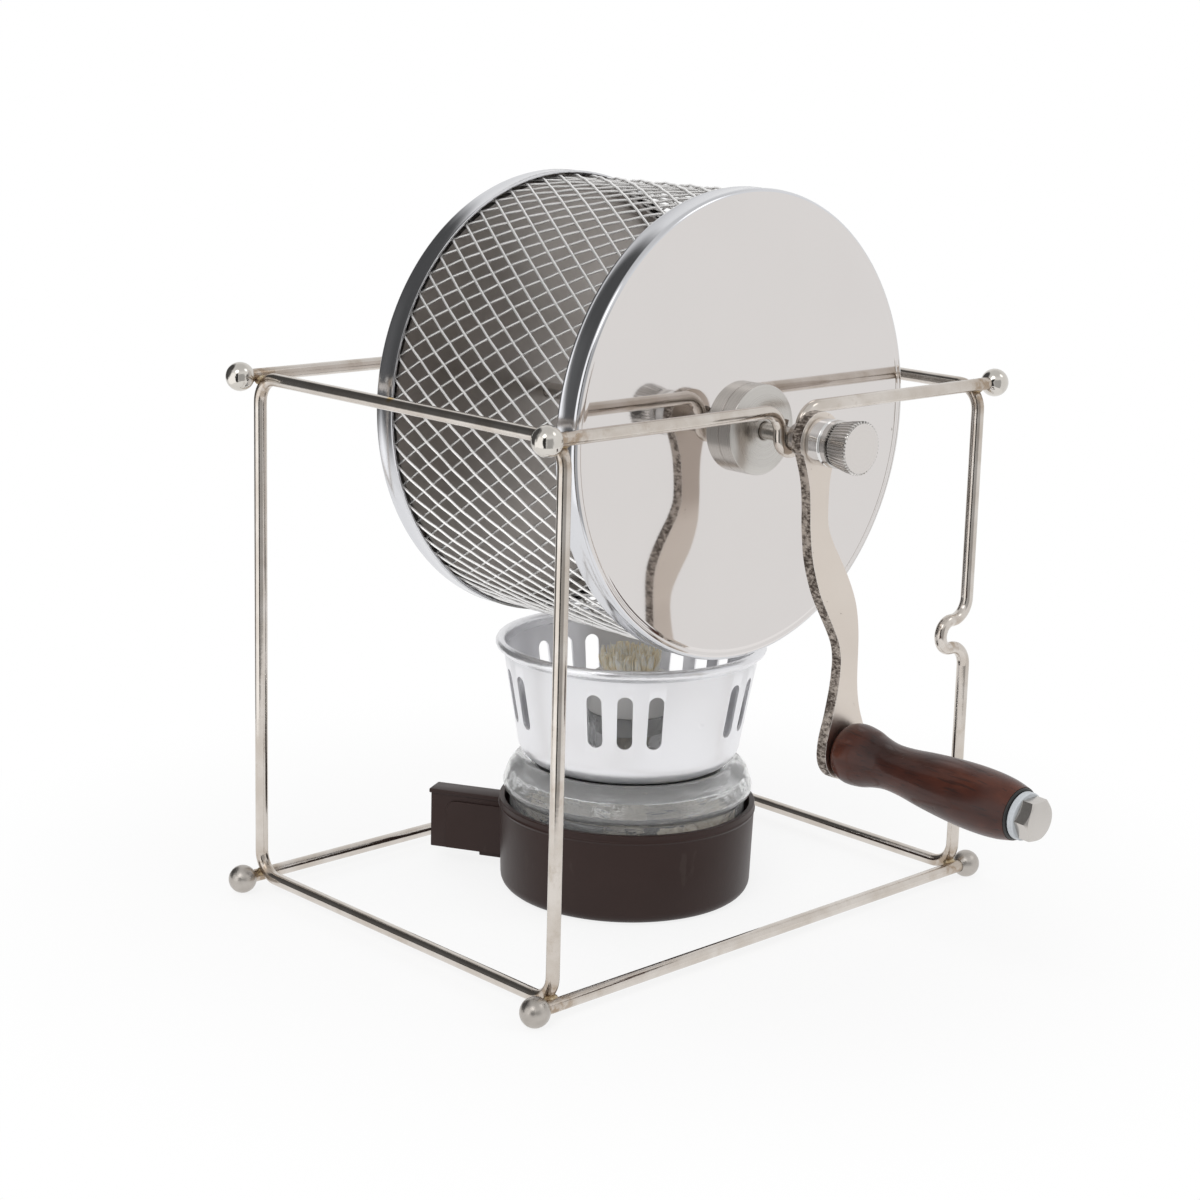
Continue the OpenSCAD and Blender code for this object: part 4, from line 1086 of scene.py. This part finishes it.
def rays(finish):
    path = finish.node("ShaderNodeLightPath").socket.node
    names = ("Is Camera Ray", "Is Glossy Ray", "Is Transmission Ray")
    return [Signal(finish, path.outputs[name]) for name in names]


bm = bmesh.new()
bmesh.ops.create_circle(bm, cap_ends=True, segments=128, radius=studio["floor"])
mesh = bpy.data.meshes.new("floor")
bm.to_mesh(mesh)
bm.free()
floor = bpy.data.objects.new("floor", mesh)
scene.collection.objects.link(floor)
f = Finish("paleFloor")
f.look(baseColor=f.blend(f.noise(0.05), *studio["floorColour"]), roughness=0.9)
direct, glossy, clear = rays(f)
radius = f.polar()[1]
glow = f.fade(radius, studio["near"], studio["far"]) * (1 - studio["glow"]) + studio["glow"]
white = f.node("ShaderNodeEmission", None, {"Color": (1.0, 1.0, 1.0), "Strength": 1.0})
seen = glow * f.maths("MINIMUM", direct + glossy + clear, 1.0)
both = f.node("ShaderNodeMixShader", None, {0: seen, 1: Signal(f, f.shader.outputs[0]), 2: white})
f.plug(f.out.inputs["Surface"], both)
mesh.materials.append(f.material)


def softLamp(name, place, size, power):
    light = bpy.data.lights.new(name, "AREA")
    light.shape, light.energy = "RECTANGLE", power
    light.size, light.size_y = size
    lamp = bpy.data.objects.new(name, light)
    lamp.location = place
    lamp.rotation_euler = (Vector(place) - Vector(studio["aim"])).to_track_quat("Z", "Y").to_euler()
    lamp.visible_glossy = False  # metal shows the even surround instead
    scene.collection.objects.link(lamp)


softLamp("keyBox", (-1.1, -0.5, 1.1), (0.8, 0.8), 9)
softLamp("fillBox", (0.9, -1.2, 0.9), (0.9, 0.9), 5)
softLamp("backBox", (0.3, 1.4, 1.2), (1.2, 0.8), 4)

world = bpy.data.worlds.new("studio")
scene.world = world
world.use_nodes = True
w = Finish("studio", world.node_tree)
background = world.node_tree.nodes["Background"]
direct, glossy, clear = rays(w)
x, y, z = w.axes(w.node("ShaderNodeTexCoord", out="Generated"))


def within(cosine, wide, soft):
    # 1 at less than wide degrees, 0 beyond, with a soft edge
    return w.fade(cosine, math.cos(math.radians(wide + soft)), math.cos(math.radians(max(wide - soft, 0))))


def patch(direction, wide, soft):
    # a round patch of sky about the direction
    d = Vector(direction).normalized()
    return within(x * d.x + y * d.y + z * d.z, wide, soft)


def column(azimuth, wide, soft, low, high):
    # an upright stripe of sky between two heights
    a = math.radians(azimuth)
    stripe = within((x * math.cos(a) + y * math.sin(a)) / ((x * x + y * y) ** 0.5 + 0.0001), wide, soft)
    return stripe * w.fade(z, low - 0.08, low + 0.08) * w.fade(z, high + 0.12, high - 0.12)


def dimmed(level, mask, least):
    return level * (1 - mask * (1 - least))


room = 0.90 - w.fade(z, 0.55, 0.95) * 0.18  # the ceiling is a little darker
room = room + column(162, 38, 14, -0.9, 0.5) * 0.4  # a bright screen on the left
room = dimmed(room, patch((-0.35, 0.80, 0.30), 38, 7), 0.09)  # the dark room behind
room = dimmed(room, column(-112, 24, 6, -0.9, 0.45), 0.5)  # grey beside the camera
room = dimmed(room, column(-151, 11, 3, -0.9, 0.6), 0.04)  # the dark side of the room
room = room + patch((-0.70, -0.30, 0.75), 12, 5) * 1.6 + patch((0.45, -0.55, 0.80), 9, 4) * 1.1
mirror = w.maths("MAXIMUM", glossy, clear)
level = studio["world"] * (1 - mirror) + room * mirror
level = level * (1 - direct) + direct
w.plug(background.inputs["Color"], (1.0, 1.0, 1.0))
w.plug(background.inputs["Strength"], level)
print("studio done")
